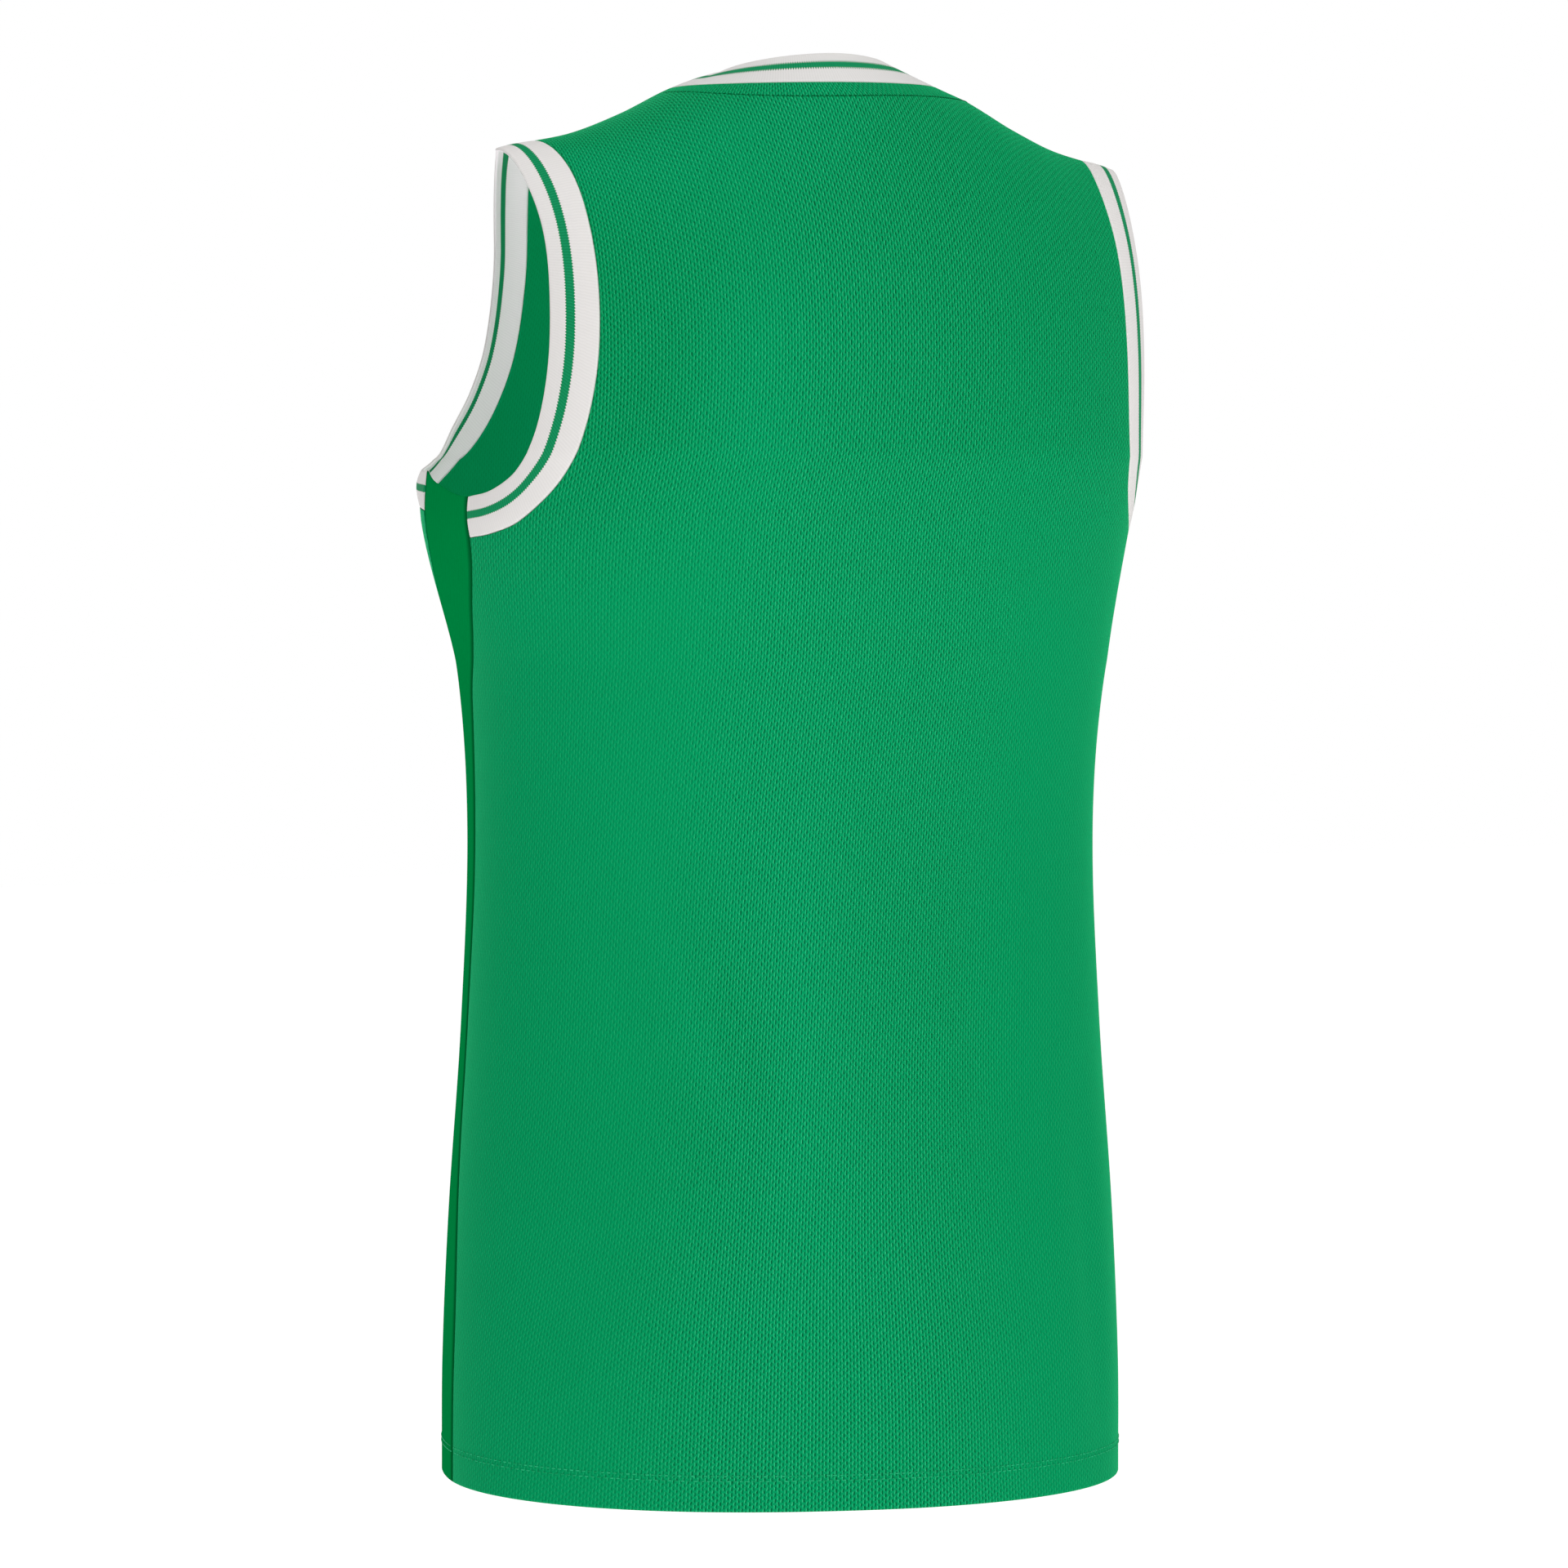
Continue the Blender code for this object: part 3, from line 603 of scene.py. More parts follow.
@dataclass(frozen=True)
class Skin:
    """Surface that the cloth lies on, named by half, angle across and level upwards."""

    origin_height: float = 0.710
    side_line: float = -0.040
    arch_base: float = 0.535
    arch_scale: float = 0.135
    back_power: float = 2.10
    front_power: float = 1.70
    twist: float = math.radians(9.5)
    twist_levels: tuple[float, float] = (0.10, 0.56)
    hem_slant: float = 0.020
    hem_slant_top: float = 0.25
    probe: float = 0.002
    sections: tuple[Section, ...] = (
        Section(0.000, 0.1810, 0.118, 0.122, 2.20),
        Section(0.060, 0.1805, 0.119, 0.122, 2.20),
        Section(0.140, 0.1770, 0.117, 0.119, 2.20),
        Section(0.240, 0.1705, 0.113, 0.114, 2.20),
        Section(0.340, 0.1675, 0.115, 0.112, 2.20),
        Section(0.420, 0.1720, 0.127, 0.116, 2.30),
        Section(0.500, 0.1860, 0.147, 0.124, 2.45),
        Section(0.535, 0.1880, 0.154, 0.124, 2.55),
    )
    crest: tuple[Row, ...] = (
        Row(-0.0725, 0.7240),
        Row(0.0000, 0.7450),
        Row(0.0725, 0.7240),
        Row(0.1040, 0.7085),
        Row(0.1310, 0.6975),
        Row(0.1570, 0.6915),
        Row(0.1900, 0.6840),
    )
    sways: tuple[Row, ...] = (
        Row(0.430, 0.0000),
        Row(0.500, 0.0045),
        Row(0.540, 0.0015),
        Row(0.590, -0.0020),
        Row(0.640, -0.0030),
        Row(0.690, 0.0000),
    )
    folds: tuple[Fold, ...] = FOLDS

    @property
    def top(self) -> float:
        """Level of the crest line."""
        return self.arch_base + self.arch_scale * math.pi / 2

    def size(self, name: str, height: Any) -> Array:
        """Read one size of the sections at a height, held above the arch's base."""
        at = np.minimum(height, self.arch_base)
        return through([s.height for s in self.sections],
                       [getattr(s, name) for s in self.sections], at)

    def crest_height(self, x: Any) -> Array:
        """Height of the crest line over a place across the shoulders."""
        return through([r.at for r in self.crest], [r.value for r in self.crest], np.abs(x))

    def section_point(self, half: Any, angle: Any, height: Any) -> tuple[Array, Array]:
        """Find the flat place on a body section.

        Args:
            half: +1 behind the side line, -1 ahead of it.
            angle: angle round the section, 0 at mid back or front.
            height: height above the hem.

        Returns:
            The place across and the place along Y.
        """
        depth = np.where(np.asarray(half) > 0, self.size("behind", height),
                         self.size("ahead", height))
        power = 2.0 / self.size("squareness", height)
        sine, cosine = np.sin(angle), np.abs(np.cos(angle))
        x = self.size("half_width", height) * np.sign(sine) * np.abs(sine) ** power
        return x, self.side_line + half * depth * cosine**power

    def angle_across(self, x: Any) -> Array:
        """Angle round the arched skin that lies over a place across the shoulders."""
        share = np.abs(x) / self.size("half_width", self.arch_base)
        power = self.size("squareness", self.arch_base) / 2.0
        return np.sign(x) * np.arcsin(np.minimum(share**power, 1.0))

    def angle_beside(self, half: int, offset: Any, height: Any) -> Array:
        """Angle of the place that lies an offset behind or ahead of the side line."""
        depth = self.size("behind" if half > 0 else "ahead", height)
        return np.arccos((offset / depth) ** (self.size("squareness", height) / 2.0))

    def power(self, half: Any) -> Array:
        """Fullness of the arch over the shoulders, behind or ahead."""
        return np.where(np.asarray(half) > 0, self.back_power, self.front_power)

    def level_of(self, half: int, angle: Any, height: Any) -> Array:
        """Level of a height on the skin: the height itself, then the turn of the arch."""
        x, _ = self.section_point(half, angle, self.arch_base)
        share = np.clip((height - self.arch_base) / (self.crest_height(x) - self.arch_base), 0, 1)
        lifted = self.arch_base + self.arch_scale * np.arcsin(share ** (self.power(half) / 2.0))
        return np.where(height <= self.arch_base, height, lifted)

    def fold_rise(self, half: Any, angle: Array, level: Array) -> Array:
        """Sum the folds at places on the skin."""
        across = self.size("half_width", level)
        rise = np.zeros(np.broadcast(half, angle, level).shape)
        for fold in self.folds:
            ax, ay = across * math.radians(fold.start[0]), fold.start[1]
            bx, by = across * math.radians(fold.end[0]), fold.end[1]
            run_x, run_y = bx - ax, by - ay
            dx, dy = across * angle - ax, level - ay
            share = np.clip((dx * run_x + dy * run_y) / (run_x**2 + run_y**2), 0.0, 1.0)
            away = np.hypot(dx - share * run_x, dy - share * run_y)
            swell = np.sin(math.pi * (0.08 + 0.84 * share)) ** 0.7
            rise += np.where(np.asarray(half) == fold.half.value, 1.0, 0.0) * (
                fold.rise * swell * np.exp(-((away / fold.spread) ** 2)))
        return rise

    def point(self, half: Any, angle: Any, level: Any) -> Array:
        """Find points of the outer skin.

        Args:
            half: +1 back or -1 front.
            angle: angle across, positive toward the wearer's left.
            level: level upwards.

        Returns:
            Points on the last axis, in the frame of the part.
        """
        half, angle, level = np.broadcast_arrays(half, angle, np.asarray(level, float))
        height = np.minimum(level, self.arch_base)
        x, y = self.section_point(half, angle, height)
        lift = np.clip((level - self.arch_base) / self.arch_scale, 0.0, math.pi / 2)
        power = 2.0 / self.power(half)
        arched = level > self.arch_base
        rise_up = (self.crest_height(x) - self.arch_base) * np.sin(lift) ** power
        height = np.where(arched, height + rise_up, height)
        y = np.where(arched, y * np.maximum(np.cos(lift), 0.0) ** power, y)
        rise = self.fold_rise(half, angle, level)
        x = x + rise * np.sin(angle)
        y = y + half * rise * np.cos(angle) - self.side_line
        turn = -self.twist * (1.0 - eased(*self.twist_levels, height))
        x, y = x * np.cos(turn) - y * np.sin(turn), x * np.sin(turn) + y * np.cos(turn)
        height = height + self.hem_slant * x * (1.0 - eased(0.0, self.hem_slant_top, height))
        x = x + through([r.at for r in self.sways], [r.value for r in self.sways], height)
        return np.stack([x, y + self.side_line, height - self.origin_height], axis=-1)

    def normal(self, half: Any, angle: Any, level: Any) -> Array:
        """Unit normals out of the skin at places on it; both halves share the crest line's."""
        half, angle, level = np.broadcast_arrays(half, angle, np.asarray(level, float))
        low = np.maximum(angle - self.probe, -math.pi / 2)
        high = np.minimum(angle + self.probe, math.pi / 2)
        across = self.point(half, high, level) - self.point(half, low, level)
        up = self.point(half, angle, level + self.probe) - self.point(half, angle, level - self.probe)
        over = np.stack([np.zeros(half.shape), -half.astype(float), np.zeros(half.shape)], axis=-1)
        up = np.where((level > self.top - 2 * self.probe)[..., None], over, up)
        return unit(np.cross(across, up) * -half[..., None])

    def run(self, points: Array) -> Array:
        """Length along a line of points, from its start to each."""
        steps = np.linalg.norm(np.diff(points, axis=0), axis=-1)
        return np.concatenate([[0.0], np.cumsum(steps)])


@dataclass(frozen=True)
class Grain:
    """How the knit of a panel lies on the skin: evenly cut, then stretched on the body.

    Each row of the table is a level, the stretch across at the middle of the panel there and
    the stretch along.  Over the shoulder blades the cloth gives more toward its sides.
    """

    skin: Skin
    stretch: tuple[Row, ...] = (
        Row(0.000, 1.22, 0.83),
        Row(0.070, 1.17, 0.87),
        Row(0.150, 1.06, 0.95),
        Row(0.240, 1.00, 1.00),
        Row(0.600, 1.00, 1.00),
        Row(0.700, 1.00, 1.12),
    )
    side_give: float = 0.45
    side_give_levels: tuple[float, float] = (0.34, 0.52)
    reference: float = 0.35
    bunching: float = 1.6

    def arc(self, half: int, angle: Array, level: Array) -> tuple[Array, Array]:
        """Length along the skin from its middle to an angle, at a level.

        Args:
            half: +1 back or -1 front.
            angle: angles across.
            level: levels; above the arch's base its base is taken.

        Returns:
            The signed length, and the length of the whole quarter there.
        """
        share = np.linspace(0.0, 1.0, 181)
        angles = share**self.bunching * math.pi / 2
        levels = np.linspace(0.0, self.skin.arch_base, 61)
        points = self.skin.point(half, angles[None, :], levels[:, None])
        steps = np.linalg.norm(np.diff(points, axis=1), axis=-1)
        table = np.concatenate([np.zeros((len(levels), 1)), np.cumsum(steps, axis=1)], axis=1)
        row = np.minimum(level, self.skin.arch_base) / levels[-1] * (len(levels) - 1)
        column = (np.abs(angle) / (math.pi / 2)) ** (1.0 / self.bunching) * (len(share) - 1)
        j = np.clip(row.astype(int), 0, len(levels) - 2)
        i = np.clip(column.astype(int), 0, len(share) - 2)
        y, x = row - j, column - i
        length = ((1 - y) * ((1 - x) * table[j, i] + x * table[j, i + 1])
                  + y * ((1 - x) * table[j + 1, i] + x * table[j + 1, i + 1]))
        return np.sign(angle) * length, (1 - y) * table[j, -1] + y * table[j + 1, -1]

    def place(self, half: int, angle: Array, level: Array) -> Array:
        """Cloth coordinates, in metres across and up, of places on a panel."""
        length, whole = self.arc(half, angle, level)
        give = self.side_give * eased(*self.side_give_levels, level)
        across = length * (1.0 - give / 3.0 * (length / whole) ** 2)
        rows = np.linspace(0.0, self.skin.top, 301)
        column = self.skin.run(self.skin.point(half, self.reference, rows))
        levels = [r.at for r in self.stretch]
        along = through(levels, [r.other for r in self.stretch], rows)
        up = np.concatenate([[0.0], np.cumsum(np.diff(column) / along[1:])])
        wide = through(levels, [r.value for r in self.stretch], level)
        return np.stack([across / wide, np.interp(level, rows, up)], axis=-1)


# ---------------------------------------------------------------- seam lines
@dataclass(frozen=True)
class NapeSeam:
    """Seam round the back of the neck: where it meets the crest line, and its sag between."""

    shift: float
    half_width: float
    sag: float
    lean: float


@dataclass(frozen=True)
class SeamLines:
    """Lines on the skin where the pieces meet or end."""

    skin: Skin
    back_seam_top: float = 0.4927
    front_seam_top: float = 0.5070
    back_band_top: float = 0.5137
    front_band_top: float = 0.5280
    strap_seam: float = 0.152
    strap_edge: float = 0.172
    neck_front_drop: float = 0.098
    neck_power: float = 2.2
    neck_seam: NapeSeam = NapeSeam(0.0055, 0.0715, 0.0013, 0.0)
    yoke_seam: NapeSeam = NapeSeam(0.0000, 0.0843, 0.0033, 1.3)
    side_seams: tuple[Row, ...] = (
        Row(0.000, 0.0185, 0.040),
        Row(0.100, 0.0190, 0.042),
        Row(0.200, 0.0085, 0.044),
        Row(0.300, 0.0045, 0.044),
        Row(0.410, 0.0050, 0.042),
        Row(0.450, 0.0230, 0.036),
        Row(0.485, 0.0400, 0.024),
        Row(0.535, 0.0450, 0.018),
    )
    back_armhole: tuple[ArmholeRow, ...] = (
        ArmholeRow(0.4945, 70.5, 0.5165, 70.5),
        ArmholeRow(0.5005, 62.0, 0.5240, 64.6),
        ArmholeRow(0.5160, 53.8, 0.5340, 61.4),
        ArmholeRow(0.5350, 49.2, 0.5500, 59.0),
        ArmholeRow(0.5650, 46.5, 0.5750, 57.4),
        ArmholeRow(0.6000, 45.4, 0.6050, 56.8),
        ArmholeRow(0.6450, 45.5, 0.6450, 57.0),
        ArmholeRow(0.6770, 46.3, 0.6730, 59.2),
    )
    front_armhole: tuple[ArmholeRow, ...] = (
        ArmholeRow(0.5120, 68.0, 0.5300, 69.0),
        ArmholeRow(0.5270, 52.5, 0.5365, 57.0),
        ArmholeRow(0.5400, 43.8, 0.5530, 50.8),
        ArmholeRow(0.5600, 37.6, 0.5710, 46.0),
        ArmholeRow(0.5900, 34.3, 0.5950, 43.6),
        ArmholeRow(0.6250, 35.0, 0.6300, 45.4),
        ArmholeRow(0.6550, 38.2, 0.6600, 50.5),
    )

    def seam_angle(self, half: int, height: Any) -> Array:
        """Angle of a side seam at a height."""
        column = [r.value if half > 0 else r.other for r in self.side_seams]
        offset = through([r.at for r in self.side_seams], column, height)
        return self.skin.angle_beside(half, offset, height)

    def seam_top(self, half: int) -> float:
        """Height where a side seam reaches the armhole band."""
        return self.back_seam_top if half > 0 else self.front_seam_top

    def band_top(self, half: int) -> float:
        """Height of the band's free edge at the side panel."""
        return self.back_band_top if half > 0 else self.front_band_top

    def armhole(self, half: int, kind: str, shares: Array) -> tuple[Array, Array]:
        """Follow the seam or the free edge of a band up one half of an armhole.

        Args:
            half: +1 back or -1 front.
            kind: "seam" or "edge".
            shares: shares of the line's length, from the side panel to the crest.

        Returns:
            Angles and levels.
        """
        table = self.back_armhole if half > 0 else self.front_armhole
        foot = self.seam_top(half) if kind == "seam" else self.band_top(half)
        end = self.strap_seam if kind == "seam" else self.strap_edge
        angles = [float(self.seam_angle(half, foot))]
        levels = [foot]
        for row in table:
            angle = math.radians(getattr(row, kind + "_angle"))
            angles.append(angle)
            levels.append(float(self.skin.level_of(half, angle, getattr(row, kind + "_height"))))
        angles.append(float(self.skin.angle_across(end)))
        levels.append(self.skin.top)
        run = self.skin.run(self.skin.point(half, np.array(angles), np.array(levels)))
        at = shares * run[-1]
        return through(run, angles, at), np.minimum(through(run, levels, at), self.skin.top)

    def side_line_up(self, half: int, shares: Array, band_shares: Array) -> tuple[Array, Array]:
        """Follow a side seam from the hem, then past the end of the armhole band as well."""
        top = self.seam_top(half)
        levels = shares * top
        angles = self.seam_angle(half, levels)
        over = self.band_top(half)
        foot_angle, over_angle = self.seam_angle(half, top), self.seam_angle(half, over)
        return (np.concatenate([angles, foot_angle + (over_angle - foot_angle) * band_shares]),
                np.concatenate([levels, top + (over - top) * band_shares]))

    def neck(self, half: int, shares: Array, yoke: bool = False) -> tuple[Array, Array]:
        """Follow one half of the neck seam, or the yoke seam, from right to left.

        Args:
            half: +1 back or -1 front.
            shares: shares of the line's length.
            yoke: whether the yoke seam is meant.

        Returns:
            Angles and levels.
        """
        seam = self.yoke_seam if yoke else self.neck_seam
        turns = np.linspace(-math.pi / 2, math.pi / 2, 361)
        sine, cosine = np.sin(turns), np.maximum(np.cos(turns), 0.0)
        if half > 0:
            x = seam.shift + seam.half_width * sine
            right, left = (float(self.skin.crest_height(seam.shift + side * seam.half_width))
                           for side in (-1, +1))
            height = right + (left - right) * (1.0 + sine) / 2
            height = height - seam.sag * (1.0 - sine**2) * (1.0 + seam.lean * sine)
        else:
            power = 2.0 / self.neck_power
            x = seam.shift + seam.half_width * np.sign(sine) * np.abs(sine) ** power
            height = self.skin.crest_height(x) - self.neck_front_drop * cosine**power
        angles = self.skin.angle_across(x)
        levels = self.skin.level_of(half, angles, height)
        run = self.skin.run(self.skin.point(half, angles, levels))
        at = shares * run[-1]
        return np.interp(at, run, angles), np.interp(at, run, levels)


# ---------------------------------------------------------------- sheets of cloth
@dataclass
class ClothSheet:
    """Grid of outer points with normals and cloth coordinates, made into a thin shell.

    A ring repeats its first row as its last one.
    """

    points: Array
    normals: Array
    grain: Array
    ring: bool = False
    gap: float = 0.12 * MM

    def inset(self) -> None:
        """Draw the borders in by half the gap between pieces, square to each border."""
        points = self.points.copy()

        def step(edge: Array, inner: Array) -> Array:
            """Small step inwards from an edge."""
            along = np.gradient(edge, axis=0)
            if self.ring:
                along[0] = along[-1] = edge[1] - edge[-2]
            along = unit(along)
            inwards = inner - edge
            inwards = inwards - np.sum(inwards * along, axis=1, keepdims=True) * along
            return unit(inwards) * self.gap / 2

        if not self.ring:
            self.points[0] += step(points[0], points[2])
            self.points[-1] += step(points[-1], points[-3])
        self.points[:, 0] += step(points[:, 0], points[:, 2])
        self.points[:, -1] += step(points[:, -1], points[:, -3])

    def border_distance(self) -> dict[Edge, Array]:
        """Distance of every point from each border, along the grid's own lines."""
        down = np.linalg.norm(np.diff(self.points, axis=0), axis=-1)
        across = np.linalg.norm(np.diff(self.points, axis=1), axis=-1)
        first_row = np.concatenate([np.zeros_like(down[:1]), np.cumsum(down, axis=0)], axis=0)
        first_column = np.concatenate([np.zeros_like(across[:, :1]),
                                       np.cumsum(across, axis=1)], axis=1)
        return {
            Edge.FIRST_ROW: first_row,
            Edge.LAST_ROW: first_row[-1:] - first_row,
            Edge.FIRST_COLUMN: first_column,
            Edge.LAST_COLUMN: first_column[:, -1:] - first_column,
        }

    def shell(self, name: str, thickness: Any, outer: bpy.types.Material,
              inner: bpy.types.Material, roll: float = 1.2 * MM) -> bpy.types.Object:
        """Make the shell: two layers that roll together at every border.

        Args:
            name: name of the piece.
            thickness: wall, one number or an array like the grid.
            outer: material of the outer face.
            inner: material of the inner face.
            roll: distance over which a border rounds down to the middle of the wall.

        Returns:
            The new object.
        """
        self.inset()
        wall = np.broadcast_to(thickness, self.points.shape[:2])
        edges = [Edge.FIRST_COLUMN, Edge.LAST_COLUMN]
        if not self.ring:
            edges += [Edge.FIRST_ROW, Edge.LAST_ROW]
        distance = self.border_distance()
        rounding = np.zeros(wall.shape)
        for edge in edges:
            near = 1.0 - np.clip(distance[edge] / roll, 0.0, 1.0)
            rounding = np.maximum(rounding, 1.0 - np.sqrt(1.0 - near**2))
        dip = (wall / 2.0) * rounding
        lean = self.rim_lean(distance, edges, wall, roll)
        top = self.points - self.normals * dip[..., None]
        bottom = self.points - self.normals * (wall - dip)[..., None]
        rows, columns = wall.shape
        used = rows - 1 if self.ring else rows
        outer_ids = np.arange(used * columns).reshape(used, columns)
        border = np.zeros((used, columns), bool)
        border[:, 0] = border[:, -1] = True
        if not self.ring:
            border[0] = border[-1] = True
        inner_ids = outer_ids.copy()
        inner_ids[~border] = used * columns + np.arange(int((~border).sum()))
        vertices = np.concatenate([top[:used].reshape(-1, 3), bottom[:used][~border]])
        if self.ring:
            outer_ids = np.vstack([outer_ids, outer_ids[:1]])
            inner_ids = np.vstack([inner_ids, inner_ids[:1]])
        j, i = np.meshgrid(np.arange(rows - 1), np.arange(columns - 1), indexing="ij")
        corners_j = np.stack([j, j, j + 1, j + 1], axis=-1).reshape(-1, 4)
        corners_i = np.stack([i, i + 1, i + 1, i], axis=-1).reshape(-1, 4)
        across = self.points[1:, 1:] - self.points[:-1, :-1]
        back = self.points[1:, :-1] - self.points[:-1, 1:]
        facing = float(np.sum(np.cross(across, back) * self.normals[:-1, :-1]))
        turn = slice(None, None, 1 if facing > 0 else -1)
        outer_faces = outer_ids[corners_j, corners_i][:, turn]
        inner_faces = inner_ids[corners_j, corners_i][:, turn][:, ::-1]
        grain = self.grain[corners_j, corners_i][:, turn]
        loops = np.concatenate([grain, grain[:, ::-1]]).reshape(-1, 2)
        faces = np.concatenate([outer_faces, inner_faces])
        mesh = bpy.data.meshes.new(name)
        mesh.from_pydata(vertices.tolist(), [], faces.tolist())
        layer = mesh.uv_layers.new(name="grain")
        layer.data.foreach_set("uv", loops.astype(np.float32).ravel())
        mesh.materials.append(outer)
        mesh.materials.append(inner)
        slots = np.zeros(len(faces), np.int32)
        slots[len(outer_faces):] = 1
        mesh.polygons.foreach_set("material_index", slots)
        mesh.polygons.foreach_set("use_smooth", np.ones(len(faces), bool))
        mesh.update()
        out, into = unit(self.normals + lean), unit(lean - self.normals)
        shading = np.concatenate([out[corners_j, corners_i][:, turn],
                                  into[corners_j, corners_i][:, turn][:, ::-1]])
        mesh.normals_split_custom_set(shading.reshape(-1, 3).tolist())
        made = bpy.data.objects.new(name, mesh)
        bpy.context.scene.collection.objects.link(made)
        return made

    def rim_lean(self, distance: dict[Edge, Array], edges: list[Edge], wall: Array,
                 roll: float) -> Array:
        """How far the shading leans outwards where the borders roll over.

        Args:
            distance: distance of every point from each border.
            edges: the borders that roll.
            wall: wall at every point.
            roll: distance over which they roll.

        Returns:
            Vectors to add to the unit normals.
        """
        down = unit(np.gradient(self.points, axis=0))
        right = unit(np.gradient(self.points, axis=1))
        outward = {Edge.FIRST_ROW: -down, Edge.LAST_ROW: down,
                   Edge.FIRST_COLUMN: -right, Edge.LAST_COLUMN: right}
        lean = np.zeros(self.points.shape)
        for edge in edges:
            near = 1.0 - np.clip(distance[edge] / roll, 0.0, 1.0)
            slope = np.minimum(near / np.sqrt(np.maximum(1.0 - near**2, 1e-6)), 6.0)
            lean += outward[edge] * (slope * wall / (2.0 * roll))[..., None]
        return lean


@dataclass(frozen=True)
class Cut:
    """Flat cut of a piece before it was sewn and worn, in metres and square metres."""

    width: float
    length: float
    area: float


class Wardrobe:
    """Finishes of the jersey, made once and shared by its pieces."""

    def __init__(self) -> None:
        """Make every material."""
        self.mesh = PolyesterMeshKnit().material()
        # the inside: fainter painted shade in its slits and painted highlight on its strands
        self.inside = PolyesterMeshKnit(name="polyester_mesh_knit_inside", ground="#00884F",
                                        shaded_slit="#007D45", lit_strand="#048E55",
                                        relief=0.05 * MM).material()
        self.close = PolyesterCloseKnit().material()
        self.neck_rib = CottonRibKnit(name="cotton_rib_knit_neck", stripe_low=0.333,
                                      stripe_high=0.562, rib=1.25 * MM,
                                      white="#DAD8D6", furrow_shade="#D2D0CE", tooth=0.034).material()
        self.arm_rib = CottonRibKnit(name="cotton_rib_knit_armhole").material()
        # lining whites lighter and pinker than the outer white: painted light against the shade
        # inside the armhole, and a pink tint painted against the green light bounced there
        self.arm_rib_lining_painted_light = CottonRibKnit(name="cotton_rib_knit_armhole_lining",
                                            white="#F2EBEF", furrow_shade="#EAE3E7",
                                            stripe_low=0.225, stripe_high=0.425).material()
        self.thread = PolyesterThread().material()
        # thread darkened with painted shade, for the ditch of the yoke seam
        self.seam_shade_thread = PolyesterThread(name="polyester_thread_dark_green", ground="#006C3C",
                                           shade="#005C32").material()


@dataclass
class Piece:
    """One cut piece of the jersey: where it lies, its wall and its flat cut."""

    skin: Skin
    lines: SeamLines
    wardrobe: Wardrobe
    name: str
    node: str
    slot: str
    cut: Cut
    wall: float
    made: list[bpy.types.Object] = field(default_factory=list)

    def dress(self, cloth: bpy.types.Object, extras: tuple[bpy.types.Object, ...] = ()) -> None:
        """Tie a finished piece to the frame and report it.

        Args:
            cloth: the shell of cloth.
            extras: separate small pieces that lie on it.
        """
        for made in (cloth, *extras):
            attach(made, "root")
        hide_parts(self.node)
        area = sum(p.area for p in cloth.data.polygons) / 2
        LOG.info("%s: %d faces, area %.4f m2, cut %.4f m2", self.name,
                 len(cloth.data.polygons), area, self.cut.area)
        self.made = [cloth, *extras]


@dataclass
class StitchRow:
    """Row of short thread dashes set into the cloth along a line on the skin."""

    skin: Skin
    pitch: float = 3.3 * MM
    dash: float = 2.1 * MM
    radius: float = 0.28 * MM
    sides: int = 6
    stations: tuple[float, ...] = (-0.5, -0.3, 0.3, 0.5)    # places along a dash
    girths: tuple[float, ...] = (0.35, 1.0, 1.0, 0.35)      # its thickness there
    lifts: tuple[float, ...] = (-0.6, 0.45, 0.45, -0.6)     # and how far it stands out

    def dashes(self, half: Any, angles: Array, levels: Array,
               start: float) -> tuple[Array, list[tuple[int, ...]]]:
        """Shape the dashes of one row.

        Args:
            half: +1 or -1, one number or one for each place.
            angles: finely spaced angles along the row.
            levels: levels along the row.
            start: place of the first dash, in pitches.

        Returns:
            Points, and faces that name them.
        """
        line, out = self.skin.point(half, angles, levels), self.skin.normal(half, angles, levels)
        run = self.skin.run(line)
        count = int(run[-1] / self.pitch - 1.0)
        middle = self.pitch * (np.arange(count) + start)
        at = np.clip(middle[:, None] + self.dash * np.array(self.stations), 0.0, run[-1])
        spine = np.stack([np.interp(at, run, line[:, c]) for c in range(3)], axis=-1)
        normal = unit(np.stack([np.interp(at, run, out[:, c]) for c in range(3)], axis=-1))
        beside = np.cross(normal, unit(spine[:, -1:] - spine[:, :1]))
        turn = np.linspace(0.0, 2.0 * math.pi, self.sides, endpoint=False)[:, None]
        girth = self.radius * np.array(self.girths)[:, None, None]
        rise = self.radius * np.array(self.lifts)[:, None]
        rings = ((spine + normal * rise)[:, :, None]
                 + girth * (np.cos(turn) * beside[:, :, None] + np.sin(turn) * normal[:, :, None]))
        faces: list[tuple[int, ...]] = []
        around = range(self.sides)
        last_ring = (len(self.stations) - 1) * self.sides
        for first in range(0, count * (last_ring + self.sides), last_ring + self.sides):
            for ring in range(first, first + last_ring, self.sides):
                for s in around:
                    a, b = ring + s, ring + (s + 1) % self.sides
                    faces.append((a, b, b + self.sides, a + self.sides))
            faces.append(tuple(first + s for s in reversed(around)))
            faces.append(tuple(first + last_ring + s for s in around))
        return rings.reshape(-1, 3), faces

    def build(self, name: str, rows: list[tuple[Any, Array, Array, float]],
              material: bpy.types.Material) -> bpy.types.Object:
        """Lay the dashes of several rows as one piece.

        Args:
            name: name of the piece.
            rows: half, angles, levels and start of each row.
            material: the thread's material.

        Returns:
            The new object.
        """
        points: list[Array] = []
        faces: list[tuple[int, ...]] = []
        for row in rows:
            ring_points, ring_faces = self.dashes(*row)
            offset = sum(len(p) for p in points)
            points.append(ring_points)
            faces += [tuple(offset + i for i in face) for face in ring_faces]
        mesh = bpy.data.meshes.new(name)
        mesh.from_pydata(np.concatenate(points).tolist(), [], faces)
        mesh.polygons.foreach_set("use_smooth", np.ones(len(faces), bool))
        mesh.materials.append(material)
        made = bpy.data.objects.new(name, mesh)
        bpy.context.scene.collection.objects.link(made)
        LOG.info("%s: %d faces", name, len(faces))
        return made


